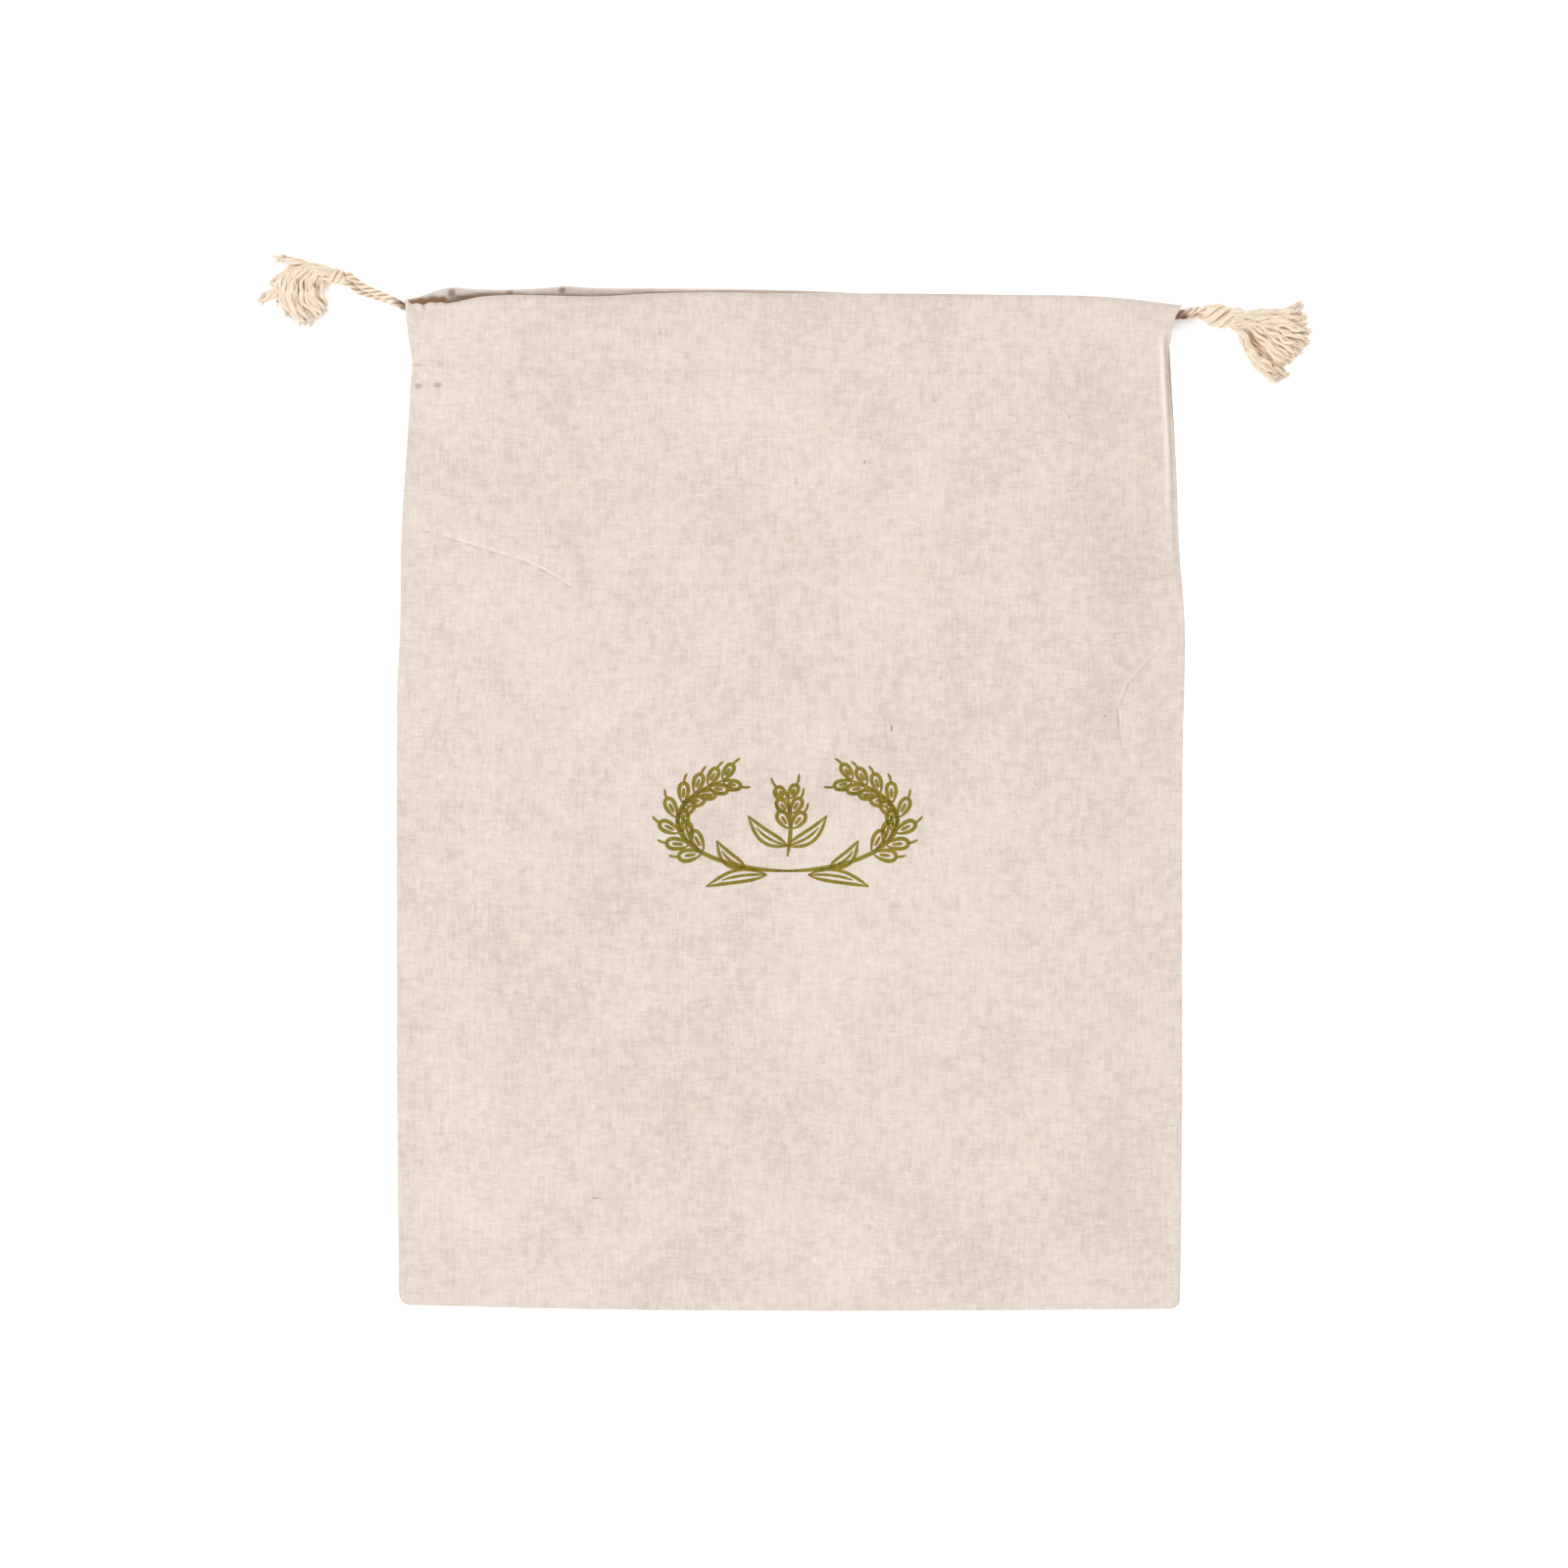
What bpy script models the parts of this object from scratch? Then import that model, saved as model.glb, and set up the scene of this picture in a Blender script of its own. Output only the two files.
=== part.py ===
"""Flat drawstring bag of plain-woven linen, lying empty on its back with its mouth along +Y.

Each of its two panels is one piece of cloth whose top edge is folded down and sewn into a casing.
The panels meet along the sides and the bottom, and stay apart at the mouth and beside the casings.
One cord runs through each casing. The two cords leave the casings at both sides of the bag, where a
knot joins them, and past the knot their yarns fan out as a tassel that rests on the surface.
Sizes are in millimetres, and MM turns them into Blender's metres. The surface is z = 0.
"""

import bisect
import math
import random
from collections import namedtuple

import bmesh
import bpy
import numpy as np
from mathutils import Vector

MM = 0.001

# Cloth and casing
CLOTH = 1.0
SEAM_GAP = 0.3
CORD_DIAMETER = 2.8
CORD_ROOM = 0.4
CASING_DEPTH = 32.0
SEWN_STRIP = 1.5
CASING_FOOT = 0.4
FULL_HEIGHT_DEPTH = 6.0
BACK_TUCK = 0.25

# How far apart the two panels lie
HOLLOW = 6.2
MOUTH_GAP = 4.6
SLIT_GAP = 0.4
RAMP = 42.0
SHORT_REACH = 14.0

CASING_ROOM = CORD_DIAMETER + 2 * CORD_ROOM
NOSE = CLOTH + CASING_ROOM / 2
SEAM_LEVEL = 2 * CLOTH + SEAM_GAP

# Outline of the bag: side edges at heights above the bottom edge, from the middle line
Side = namedtuple("Side", "height left right")
SIDES = (
    Side(0, -150.0, 148.6),
    Side(10, -150.1, 148.8),
    Side(90, -150.8, 149.5),
    Side(140, -150.8, 149.5),
    Side(220, -150.8, 149.9),
    Side(240, -150.7, 150.4),
    Side(254, -149.9, 150.7),
    Side(300, -149.0, 148.0),
    Side(327, -147.2, 147.3),
    Side(353, -145.6, 145.8),
    Side(363, -144.9, 145.2),
    Side(372, -146.0, 144.9),
    Side(380, -146.8, 146.8),
    Side(384, -147.1, 149.2),
)
Top = namedtuple("Top", "x front back")
TOPS = (
    Top(-147.1, 386.2, 386.8),
    Top(-141.6, 385.0, 388.0),
    Top(-136.0, 385.6, 390.2),
    Top(-131.0, 385.1, 391.3),
    Top(-120.6, 387.0, 390.8),
    Top(-94.7, 387.8, 391.2),
    Top(-87.2, 387.6, 391.9),
    Top(-74.4, 387.4, 391.2),
    Top(-53.8, 388.5, 391.1),
    Top(4.7, 388.7, 390.2),
    Top(40.3, 388.5, 388.4),
    Top(76.3, 388.1, 387.5),
    Top(128.8, 386.6, 385.9),
    Top(144.6, 384.8, 384.2),
    Top(149.2, 384.2, 383.6),
)
Bottom = namedtuple("Bottom", "x height")
BOTTOMS = (
    Bottom(-146, 2.2),
    Bottom(-90, 0.8),
    Bottom(-40, 0.2),
    Bottom(20, 0.0),
    Bottom(80, 0.2),
    Bottom(146, 0.8),
)
CORNER_RADII = (4.5, 3.4)

# Rows of the cloth up from the bottom edge, and its columns in from the left and right edges
ROW_TOP = 355.0
CORNER_ROWS = (0.0, 0.6, 2.0, 4.5)
FRONT_ROWS = (*CORNER_ROWS, *np.linspace(14, 198, 8), *np.linspace(208, 304, 11), 317, 331, 344)
BACK_ROWS = (*CORNER_ROWS, 90, 180, 240, 256, 300, 327)
COLUMN_WIDTH = 300.0
FRONT_LEFT = (0, 1.5, 4, 6.5, 9, 12, 15, 19, 25, 34, 45, 57, 70)
FRONT_RIGHT = (58, 48, 39, 30, 22, 14, 7, 2, 0)
FRONT_STEP = 19.0
BACK_LEFT = (0, 3, 6, 11, 15, 20, 28, 42, 60.6, 72)
BACK_RIGHT = (50, 30, 16, 7, 2, 0)
BACK_STEP = 27.0
CASING_ROWS = (24.0, 17.0, 11.0, 6.5)
NOSE_STEPS = 5

# Creases of the front panel: soft ridges (rise above 0) and troughs along straight lines
Fold = namedtuple("Fold", "x1 height1 x2 height2 width rise")
FOLDS = (
    Fold(-147, 299, -95, 283, 4.5, -0.9),
    Fold(-143, 303, -99, 290, 5.0, 0.5),
    Fold(-95, 283, -82, 277, 5.0, -0.4),
    Fold(-148, 256, -104, 259, 7.0, 0.6),
    Fold(142, 253, 124, 233, 4.5, -0.9),
    Fold(124, 233, 128, 217, 4.5, -0.7),
    Fold(136, 240, 134, 222, 5.5, 0.7),
    Fold(128, 217, 105, 222, 4.5, 0.5),
    Fold(137, 128, 127, 36, 7.0, -0.7),
    Fold(-52, 269, 38, 268, 5.0, -0.3),
    Fold(-142, 361, -132, 360, 3.0, 0.7),
    Fold(-142.5, 354, -142, 353.5, 3.0, -0.4),
    Fold(-135.5, 354, -135, 353.5, 3.0, -0.5),
)
FOLD_FADE = 6.0
Swell = namedtuple("Swell", "wave_x wave_y phase rise")
SWELLS = (Swell(210, 160, 0.4, 0.35), Swell(-120, 240, 2.1, 0.25), Swell(90, -140, 4.0, 0.2))
GATHER_REACH = 26.0
GATHER_WAVE = 6.2
GATHER_RISE = 0.8
GATHER_DEPTH = 15.0

# Knots and tassels: a knot's place and the way the tassel leaves it, then each column of locks
Knot = namedtuple("Knot", "x height heading length width thickness wraps seed")
LEFT_KNOT = Knot(-174.1, 395.5, 166, 7.8, 6.8, 6.2, 2, 11)
RIGHT_KNOT = Knot(163.6, 380.4, -10, 12.4, 9.8, 8.4, 3, 23)
Lock = namedtuple("Lock", "angle reach")
LEFT_LOCKS = (
    Lock(162, 21.5),
    Lock(182, 23.5),
    Lock(199, 27.0),
    Lock(218, 25.0),
    Lock(237, 23.5),
    Lock(257, 19.0),
)
RIGHT_LOCKS = (
    Lock(-54, 29.0),
    Lock(-42, 29.5),
    Lock(-29, 29.5),
    Lock(-16, 30.0),
    Lock(-3, 29.5),
    Lock(11, 29.0),
)
LAYERS = 4
LOCK_HEIGHT = 1.0
LOCK_GAP = 0.32
LOCK_WIDTH = 1.35
LOCK_STEPS = 5
ROOT_INSET = 0.16
WRAP_STARTS = 3
WRAP_RAISE = 0.2
WRAP_ROUNDNESS = 0.6
KNOT_RINGS = 12
ROOT_SIZE = 0.9
CORD_END_SIZE = 0.86

# Drawcords: the free stretches between casing and knot, from the bag outwards
Stop = namedtuple("Stop", "x height z")
FRONT_LEFT_STOPS = (
    Stop(-150.5, 385.4, 8.7),
    Stop(-155.5, 387.9, 7.4),
    Stop(-161.0, 390.4, 5.6),
    Stop(-165.5, 393.0, 4.6),
)
BACK_LEFT_STOPS = (
    Stop(-150.5, 385.2, 2.8),
    Stop(-155.5, 386.9, 2.4),
    Stop(-161.0, 388.5, 1.9),
    Stop(-165.5, 390.0, 1.9),
)
FRONT_RIGHT_STOPS = (Stop(151.3, 381.9, 8.5),)
BACK_RIGHT_STOPS = (Stop(151.3, 380.7, 2.9),)
Seat = namedtuple("Seat", "side up")
LEFT_SEATS = (Seat(-1.4, 0.8), Seat(1.4, -0.8))
RIGHT_SEATS = (Seat(0.9, 1.4), Seat(-0.9, -1.4))
CORD_PLIES = 3
PLY_GROOVE = 0.26
PLY_TURN = 10.0
PROFILE_POINTS = 12
HELD_STEP = 7.5
FREE_STEP = 1.1
EXIT_MARGIN = 1.0
CORD_INSET = NOSE + 0.35
ROUTE_STEP = 6.0
LEAD_IN = 1.8

# Finish of each piece: linear colour and roughness
LINEN = (0.78, 0.69, 0.61, 1.0)
COTTON = (0.86, 0.74, 0.61, 1.0)
LINEN_ROUGHNESS = 0.95
COTTON_ROUGHNESS = 0.9


def mix(start, end, share):
    return start + (end - start) * share


def ease(share):
    """A smooth step from 0 to 1."""
    share = min(max(share, 0.0), 1.0)
    return share * share * (3 - 2 * share)


def smooth_curve(places, values):
    """A function through the given points, with the mean slope of its neighbours at each."""
    slopes = np.gradient(np.array(values, float), np.array(places, float))

    def curve(place):
        place = min(max(place, places[0]), places[-1])
        i = min(max(bisect.bisect_right(places, place) - 1, 0), len(places) - 2)
        span = places[i + 1] - places[i]
        t = (place - places[i]) / span
        start = values[i] * (1 + 2 * t) * (1 - t) ** 2 + slopes[i] * span * t * (1 - t) ** 2
        end = values[i + 1] * t * t * (3 - 2 * t) + slopes[i + 1] * span * t * t * (t - 1)
        return float(start + end)

    return curve


left_edge = smooth_curve([row.height for row in SIDES], [row.left for row in SIDES])
right_edge = smooth_curve([row.height for row in SIDES], [row.right for row in SIDES])
front_top = smooth_curve([row.x for row in TOPS], [row.front for row in TOPS])
back_top = smooth_curve([row.x for row in TOPS], [row.back for row in TOPS])
bottom_edge = smooth_curve([row.x for row in BOTTOMS], [row.height for row in BOTTOMS])

# The origin lies under the middle of the cloth
MIDDLE_X = (min(row.left for row in SIDES) + max(row.right for row in SIDES)) / 2
MIDDLE_HEIGHT = max(row.back for row in TOPS) / 2


def placed(x, height, z):
    """A point of the bag in metres, from its place across, its height up the bag and its level."""
    return Vector((x - MIDDLE_X, height - MIDDLE_HEIGHT, z)) * MM


def casing_room(inset):
    """Height of the space inside a casing, at a distance below its fold."""
    fall = (inset - FULL_HEIGHT_DEPTH) / (CASING_DEPTH - SEWN_STRIP - FULL_HEIGHT_DEPTH)
    return mix(CASING_ROOM, CASING_FOOT, ease(fall))


def line_distance(x, height, fold):
    """Distance from a point of the panel to a fold's line."""
    start = Vector((fold.x1, fold.height1))
    line = Vector((fold.x2, fold.height2)) - start
    along = (Vector((x, height)) - start).dot(line) / line.length_squared
    nearest = start + line * min(max(along, 0.0), 1.0)
    return (Vector((x, height)) - nearest).length


def creases(x, height):
    """Rise of the front panel's creases at a point."""
    return sum(f.rise * math.exp(-((line_distance(x, height, f) / f.width) ** 2)) for f in FOLDS)


def swells(x, height):
    """Rise of the front panel's broad uneven swells at a point."""
    turns = ((x / s.wave_x + height / s.wave_y, s) for s in SWELLS)
    return sum(s.rise * math.sin(2 * math.pi * turn + s.phase) for turn, s in turns)


def front_skin(x, height, inset):
    """Level of the front panel's outer face, at a distance below its fold."""
    from_side = min(x - left_edge(height), right_edge(height) - x)
    spread = ease(from_side / RAMP)
    room = casing_room(inset)
    gap = mix(SLIT_GAP, MOUTH_GAP + CASING_ROOM - room, spread)
    casing = 4 * CLOTH + 2 * room + gap
    loft = spread * ease((height - bottom_edge(x)) / RAMP)
    body = SEAM_LEVEL + (HOLLOW - SEAM_GAP + swells(x, height)) * loft
    below = max(inset - CASING_DEPTH, 0.0)
    share = ease(1 - below / mix(SHORT_REACH, RAMP, spread))
    level = mix(body, casing, share) + creases(x, height) * ease(from_side / FOLD_FADE)
    return max(level, SEAM_LEVEL)


def gather(x, inset):
    """Rise of the small gathers in the front casing's outer layer, beside the left cord."""
    from_side = x - SIDES[-1].left
    reach = ease(1 - from_side / GATHER_REACH) * ease(1 - inset / GATHER_DEPTH)
    return GATHER_RISE * reach * (0.5 + 0.5 * math.sin(2 * math.pi * from_side / GATHER_WAVE))


# One rib of a casing is a pair of points on the two faces of its cloth, `outer` and `inner` deep
# below the panel's outer face. It has an inset below the fold, or on the nose an angle round it,
# and `loose` is its share of the gathers.
Rib = namedtuple("Rib", "angle inset outer inner loose")


def casing_ribs():
    """Ribs round the fold: up the outer layer, over the nose and down the inner layer."""
    ribs = [Rib(None, CASING_DEPTH - SEWN_STRIP, 0.0, CLOTH, 1.0)]
    ribs += [Rib(None, inset, 0.0, CLOTH, 1.0) for inset in CASING_ROWS]
    for step in range(NOSE_STEPS + 1):
        angle = math.pi * step / NOSE_STEPS
        outer = NOSE - NOSE * math.cos(angle)
        inner = NOSE - (NOSE - CLOTH) * math.cos(angle)
        ribs.append(Rib(angle, None, outer, inner, max(math.cos(angle), 0.0)))
    for inset in (*reversed(CASING_ROWS), CASING_DEPTH - SEWN_STRIP):
        depth = CLOTH + casing_room(inset)
        ribs.append(Rib(None, inset, depth + CLOTH, depth, 0.0))
    return ribs


def rib_insets(rib):
    """Distances below the fold of a rib's outer and inner point."""
    if rib.inset is not None:
        return rib.inset, rib.inset
    return NOSE - NOSE * math.sin(rib.angle), NOSE - (NOSE - CLOTH) * math.sin(rib.angle)


def panel_point(share, top, tuck, front, depth, row=None, inset=None, loose=0.0):
    """A point of a panel: its share of the width, then its row or its distance below the fold."""
    bottom = bottom_edge(mix(SIDES[0].left, SIDES[0].right, share)) + tuck
    fold = top(mix(SIDES[-1].left, SIDES[-1].right, share))
    if inset is None:
        inset = fold - mix(bottom, fold - CASING_DEPTH, row / ROW_TOP)
    height = fold - inset
    sides = [left_edge(height) + tuck, right_edge(height) - tuck]
    for i, radius in enumerate(CORNER_RADII):
        fall = radius - min(max(height - bottom, 0.0), radius)
        sides[i] += (1, -1)[i] * (radius - math.sqrt(radius * radius - fall * fall))
    x = mix(*sides, share)
    if not front:
        return placed(x, height, depth)
    return placed(x, height, front_skin(x, height, inset) - depth + loose * gather(x, inset))


def panel_loops(share, rows, top, tuck, front):
    """The closed outline of a panel's section, and the closed outline of its casing's space."""
    def point(**where):
        return panel_point(share, top, tuck, front, **where)

    outer = [point(depth=0.0, row=row) for row in rows]
    outer.append(point(depth=0.0, inset=CASING_DEPTH))
    space = []
    for rib in casing_ribs():
        outer_inset, inner_inset = rib_insets(rib)
        outer.append(point(depth=rib.outer, inset=outer_inset, loose=rib.loose))
        space.append(point(depth=rib.inner, inset=inner_inset, loose=rib.loose))
    outer.append(point(depth=2 * CLOTH, inset=CASING_DEPTH))
    outer.append(point(depth=CLOTH, inset=CASING_DEPTH))
    outer += [point(depth=CLOTH, row=row) for row in reversed(rows)]
    return outer, space


def skin(bm, rings):
    """Faces between each ring of points and the next."""
    for ring, after in zip(rings, rings[1:]):
        for i, vertex in enumerate(ring):
            j = (i + 1) % len(ring)
            bm.faces.new((vertex, ring[j], after[j], after[i]))


def cap_panel(bm, outer, space, row_count):
    """The cut end of a panel: cloth between its two faces, the sewn strip, and the casing's layers."""
    last = len(outer) - 1
    for i in range(row_count):
        bm.faces.new((outer[i], outer[i + 1], outer[last - i - 1], outer[last - i]))
    stitch, foot = row_count, row_count + 1
    inside_step, under_step = last - row_count, last - row_count - 1
    bm.faces.new((outer[stitch], outer[foot], space[0], outer[inside_step]))
    bm.faces.new((outer[inside_step], space[0], space[-1]))
    bm.faces.new((outer[inside_step], space[-1], outer[under_step - 1], outer[under_step]))
    for i in range(len(space) - 1):
        bm.faces.new((outer[foot + i], outer[foot + i + 1], space[i + 1], space[i]))


def finish_object(name, bm, colour, roughness, sharp_degrees):
    """A mesh object of its own material, facing out and shaded smooth up to an angle."""
    bmesh.ops.recalc_face_normals(bm, faces=bm.faces)
    mesh = bpy.data.meshes.new(name)
    bm.to_mesh(mesh)
    bm.free()
    mesh.shade_smooth()
    mesh.set_sharp_from_angle(angle=math.radians(sharp_degrees))
    add_object(name, mesh, colour, roughness)


def add_object(name, data, colour, roughness):
    material = bpy.data.materials.new(name + "_finish")
    material.use_nodes = True
    shader = material.node_tree.nodes["Principled BSDF"]
    shader.inputs["Base Color"].default_value = colour
    shader.inputs["Roughness"].default_value = roughness
    data.materials.append(material)
    bpy.context.scene.collection.objects.link(bpy.data.objects.new(name, data))


def columns(left, right, step):
    """Shares of the width at which a panel has its sections."""
    middle_left, middle_right = left[-1], COLUMN_WIDTH - right[0]
    count = round((middle_right - middle_left) / step)
    middle = [mix(middle_left, middle_right, i / count) for i in range(1, count)]
    return [place / COLUMN_WIDTH for place in (*left, *middle, *(COLUMN_WIDTH - place for place in right))]


def make_panel(name, shares, rows, top, tuck, front):
    """A panel of cloth with its casing, one closed solid lofted from side to side."""
    bm = bmesh.new()
    outers, spaces = [], []
    for share in shares:
        outer, space = panel_loops(share, rows, top, tuck, front)
        outers.append([bm.verts.new(point) for point in outer])
        spaces.append([bm.verts.new(point) for point in space])
    skin(bm, outers)
    skin(bm, spaces)
    for end in (0, -1):
        cap_panel(bm, outers[end], spaces[end], len(rows))
    finish_object(name, bm, LINEN, LINEN_ROUGHNESS, 50)


def knot_end(knot, end):
    """Middle of a knot's end: 1 where the tassel leaves it, -1 where the cords come in."""
    heading = math.radians(knot.heading)
    along = Vector((math.cos(heading), math.sin(heading), 0)) * knot.length / 2 * MM
    return placed(knot.x, knot.height, knot.thickness / 2) + along * end


def lock_path(knot, lock, root, level):
    """A function of the middle of one lock, from its root on the knot to its tip on the pile."""
    heading = math.radians(knot.heading)
    angle = math.radians(lock.angle)
    leave = Vector((math.cos(heading), math.sin(heading))) * lock.reach * 0.4 * MM
    middle = knot_end(knot, 1).to_2d()
    tip = middle + Vector((math.cos(angle), math.sin(angle))) * lock.reach * MM
    first = root.to_2d()

    def path(t):
        plan = first * (1 - t) ** 2 + (first + leave) * 2 * t * (1 - t) + tip * t * t
        return Vector((*plan, mix(root.z, level * MM, ease(t / 0.4))))

    return path


def grow_lock(bm, face, path, across):
    """Extrudes a root face along its lock's path, four-sided and narrower towards the tip."""
    middle = face.calc_center_median()
    for step in range(1, LOCK_STEPS + 1):
        t = step / LOCK_STEPS
        sides = [((v.co - middle).dot(across), v.co.z - middle.z) for v in face.verts]
        face = bmesh.ops.extrude_discrete_faces(bm, faces=[face])["faces"][0]
        middle = path(t)
        run = path(min(t + 0.02, 1.0)) - path(t - 0.02)
        across = Vector((-run.y, run.x, 0)).normalized()
        width = LOCK_WIDTH * (1 - 0.45 * t ** 3) * MM
        for vertex, (side, up) in zip(face.verts, sides):
            corner = across * math.copysign(width / 2, side)
            vertex.co = middle + corner + Vector((0, 0, math.copysign(LOCK_HEIGHT / 2 * MM, up)))


def knot_size(knot, angle, t):
    """Share of a knot's full size at an angle round it, from its tassel's end, 0, to its cords', 1."""
    swell = mix(ROOT_SIZE, 1.0, math.sin(math.pi * t) ** 0.6)
    swell *= mix(1.0, CORD_END_SIZE, ease((t - 0.6) / 0.4))
    wrap = 0.5 + 0.5 * math.cos(WRAP_STARTS * angle + 2 * math.pi * knot.wraps * t)
    groove = WRAP_RAISE * math.sin(math.pi * t) ** 0.5 * (1 - wrap ** WRAP_ROUNDNESS)
    return swell * (1 - groove)


def make_tassel(name, knot, locks):
    """A knot with raised diagonal wraps, one solid with the locks that fan out of its end."""
    rng = random.Random(knot.seed)
    heading = math.radians(knot.heading)
    along = Vector((math.cos(heading), math.sin(heading), 0))
    across = Vector((-along.y, along.x, 0))
    bm = bmesh.new()
    grid = []
    for row in range(LAYERS + 1):
        grid.append([])
        for column in range(len(locks) + 1):
            p, q = 2 * column / len(locks) - 1, 2 * row / LAYERS - 1
            side = p * math.sqrt(1 - 0.4 * q * q) * knot.width * 0.44 * MM
            up = q * math.sqrt(1 - 0.4 * p * p) * knot.thickness * 0.44 * MM
            grid[-1].append(bm.verts.new(knot_end(knot, 1) + across * side + Vector((0, 0, up))))
    roots = {}
    for row in range(LAYERS):
        for column in range(len(locks)):
            low, high = grid[row][column:column + 2], grid[row + 1][column:column + 2]
            roots[row, column] = bm.faces.new((*low, *reversed(high)))
    rim = grid[0][:-1] + [line[-1] for line in grid[:-1]]
    rim += grid[-1][:0:-1] + [line[0] for line in grid[:0:-1]]
    angles = [math.atan2(v.co.z - knot_end(knot, 1).z, (v.co - knot_end(knot, 1)).dot(across)) for v in rim]
    rings = [rim]
    for step in range(1, KNOT_RINGS + 1):
        t = step / KNOT_RINGS
        middle = knot_end(knot, 1).lerp(knot_end(knot, -1), t)
        rings.append([])
        for angle in angles:
            size = knot_size(knot, angle, t)
            side = size * math.cos(angle) * knot.width / 2 * MM
            up = size * math.sin(angle) * knot.thickness / 2 * MM
            rings[-1].append(bm.verts.new(middle + across * side + Vector((0, 0, up))))
    skin(bm, rings)
    bm.faces.new(rings[-1])
    bmesh.ops.recalc_face_normals(bm, faces=bm.faces)
    bmesh.ops.inset_individual(bm, faces=list(roots.values()), thickness=ROOT_INSET * MM)
    for (row, column), face in roots.items():
        spread = (locks[-1].angle - locks[0].angle) / (len(locks) - 1)
        turn = spread * ((row + 0.5) / LAYERS - 0.5) + rng.uniform(-0.14, 0.14) * spread
        lock = Lock(locks[column].angle + turn, locks[column].reach * rng.uniform(0.86, 1.0))
        level = LOCK_HEIGHT / 2 + row * (LOCK_HEIGHT + LOCK_GAP)
        grow_lock(bm, face, lock_path(knot, lock, face.calc_center_median(), level), across)
    finish_object(name, bm, COTTON, COTTON_ROUGHNESS, 40)


def ply_profile():
    """The outline across a cord: three plies with a groove between each two."""
    curve = bpy.data.curves.new("ply_outline", "CURVE")
    curve.dimensions = "2D"
    spline = curve.splines.new("POLY")
    spline.points.add(PROFILE_POINTS - 1)
    spline.use_cyclic_u = True
    for i, point in enumerate(spline.points):
        angle = -2 * math.pi * i / PROFILE_POINTS
        radius = CORD_DIAMETER / 2 - PLY_GROOVE * (0.5 - 0.5 * math.cos(CORD_PLIES * angle))
        point.co = (radius * math.cos(angle) * MM, radius * math.sin(angle) * MM, 0, 1)
    outline = bpy.data.objects.new("ply_outline", curve)
    outline.hide_render = True
    outline.display_type = "WIRE"
    bpy.context.scene.collection.objects.link(outline)
    return outline


def cord_seat(knot, seat, short):
    """Where a cord comes straight in to a knot, at a distance short of its face."""
    heading = math.radians(knot.heading)
    back = knot.length / 2 + short
    x = knot.x - back * math.cos(heading) - seat.side * math.sin(heading)
    height = knot.height - back * math.sin(heading) + seat.side * math.cos(heading)
    return Stop(x, height, knot.thickness / 2 + seat.up)


def cord_route(top, level, left_stops, right_stops, seat):
    """Places that a cord passes, from knot to knot, and the first and last of them in its casing."""
    first = SIDES[-1].left + EXIT_MARGIN
    last = SIDES[-1].right - EXIT_MARGIN
    count = round((last - first) / ROUTE_STEP)
    places = [mix(first, last, i / count) for i in range(count + 1)]
    held = [Stop(x, top(x) - CORD_INSET, level(x)) for x in places]
    left = [cord_seat(LEFT_KNOT, LEFT_SEATS[seat], short) for short in (SEAM_GAP, LEAD_IN)]
    right = [cord_seat(RIGHT_KNOT, RIGHT_SEATS[seat], short) for short in (LEAD_IN, SEAM_GAP)]
    left += reversed(left_stops)
    return [*left, *held, *right_stops, *right], len(left), len(left) + count


def even_steps(start, end, step):
    """Distances from start up to end, without the end, about a step apart."""
    count = round((end - start) / step)
    return [mix(start, end, i / count) for i in range(count)]


def make_cord(name, outline, route, first_held, last_held):
    """A round cord along its route, its plies twisted where it lies free of the casing."""
    run = [0.0]
    for before, after in zip(route, route[1:]):
        run.append(run[-1] + math.dist(before, after))
    axes = [smooth_curve(run, [stop[axis] for stop in route]) for axis in range(3)]
    enters, leaves = run[first_held], run[last_held]
    distances = even_steps(0.0, enters, FREE_STEP) + even_steps(enters, leaves, HELD_STEP)
    distances += [*even_steps(leaves, run[-1], FREE_STEP), run[-1]]
    curve = bpy.data.curves.new(name, "CURVE")
    curve.dimensions = "3D"
    curve.bevel_mode = "OBJECT"
    curve.bevel_object = outline
    curve.use_fill_caps = True
    spline = curve.splines.new("POLY")
    spline.points.add(len(distances) - 1)
    for point, distance in zip(spline.points, distances):
        point.co = (*placed(*(axis(distance) for axis in axes)), 1)
        free_run = min(distance, enters) + max(distance - leaves, 0.0)
        point.tilt = 2 * math.pi * free_run / PLY_TURN
    spline.use_smooth = True
    add_object(name, curve, COTTON, COTTON_ROUGHNESS)


def front_cord_level(x):
    """Level of the front cord's middle in its casing."""
    return front_skin(x, front_top(x) - NOSE, NOSE) - NOSE


def make_drawcord(name, outline, top, level, stops, seat):
    """One drawcord: through its casing, out at both sides and down to its seats on the knots."""
    make_cord(name, outline, *cord_route(top, level, *stops, seat))


for old in list(bpy.data.objects):
    bpy.data.objects.remove(old, do_unlink=True)

make_panel("back_panel", columns(BACK_LEFT, BACK_RIGHT, BACK_STEP), BACK_ROWS, back_top, BACK_TUCK, False)
make_panel("front_panel", columns(FRONT_LEFT, FRONT_RIGHT, FRONT_STEP), FRONT_ROWS, front_top, 0.0, True)
plies = ply_profile()
front_stops = FRONT_LEFT_STOPS, FRONT_RIGHT_STOPS
back_stops = BACK_LEFT_STOPS, BACK_RIGHT_STOPS
make_drawcord("drawcord_front", plies, front_top, front_cord_level, front_stops, 0)
make_drawcord("drawcord_back", plies, back_top, lambda x: NOSE, back_stops, 1)
make_tassel("tassel_left", LEFT_KNOT, LEFT_LOCKS)
make_tassel("tassel_right", RIGHT_KNOT, RIGHT_LOCKS)
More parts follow.
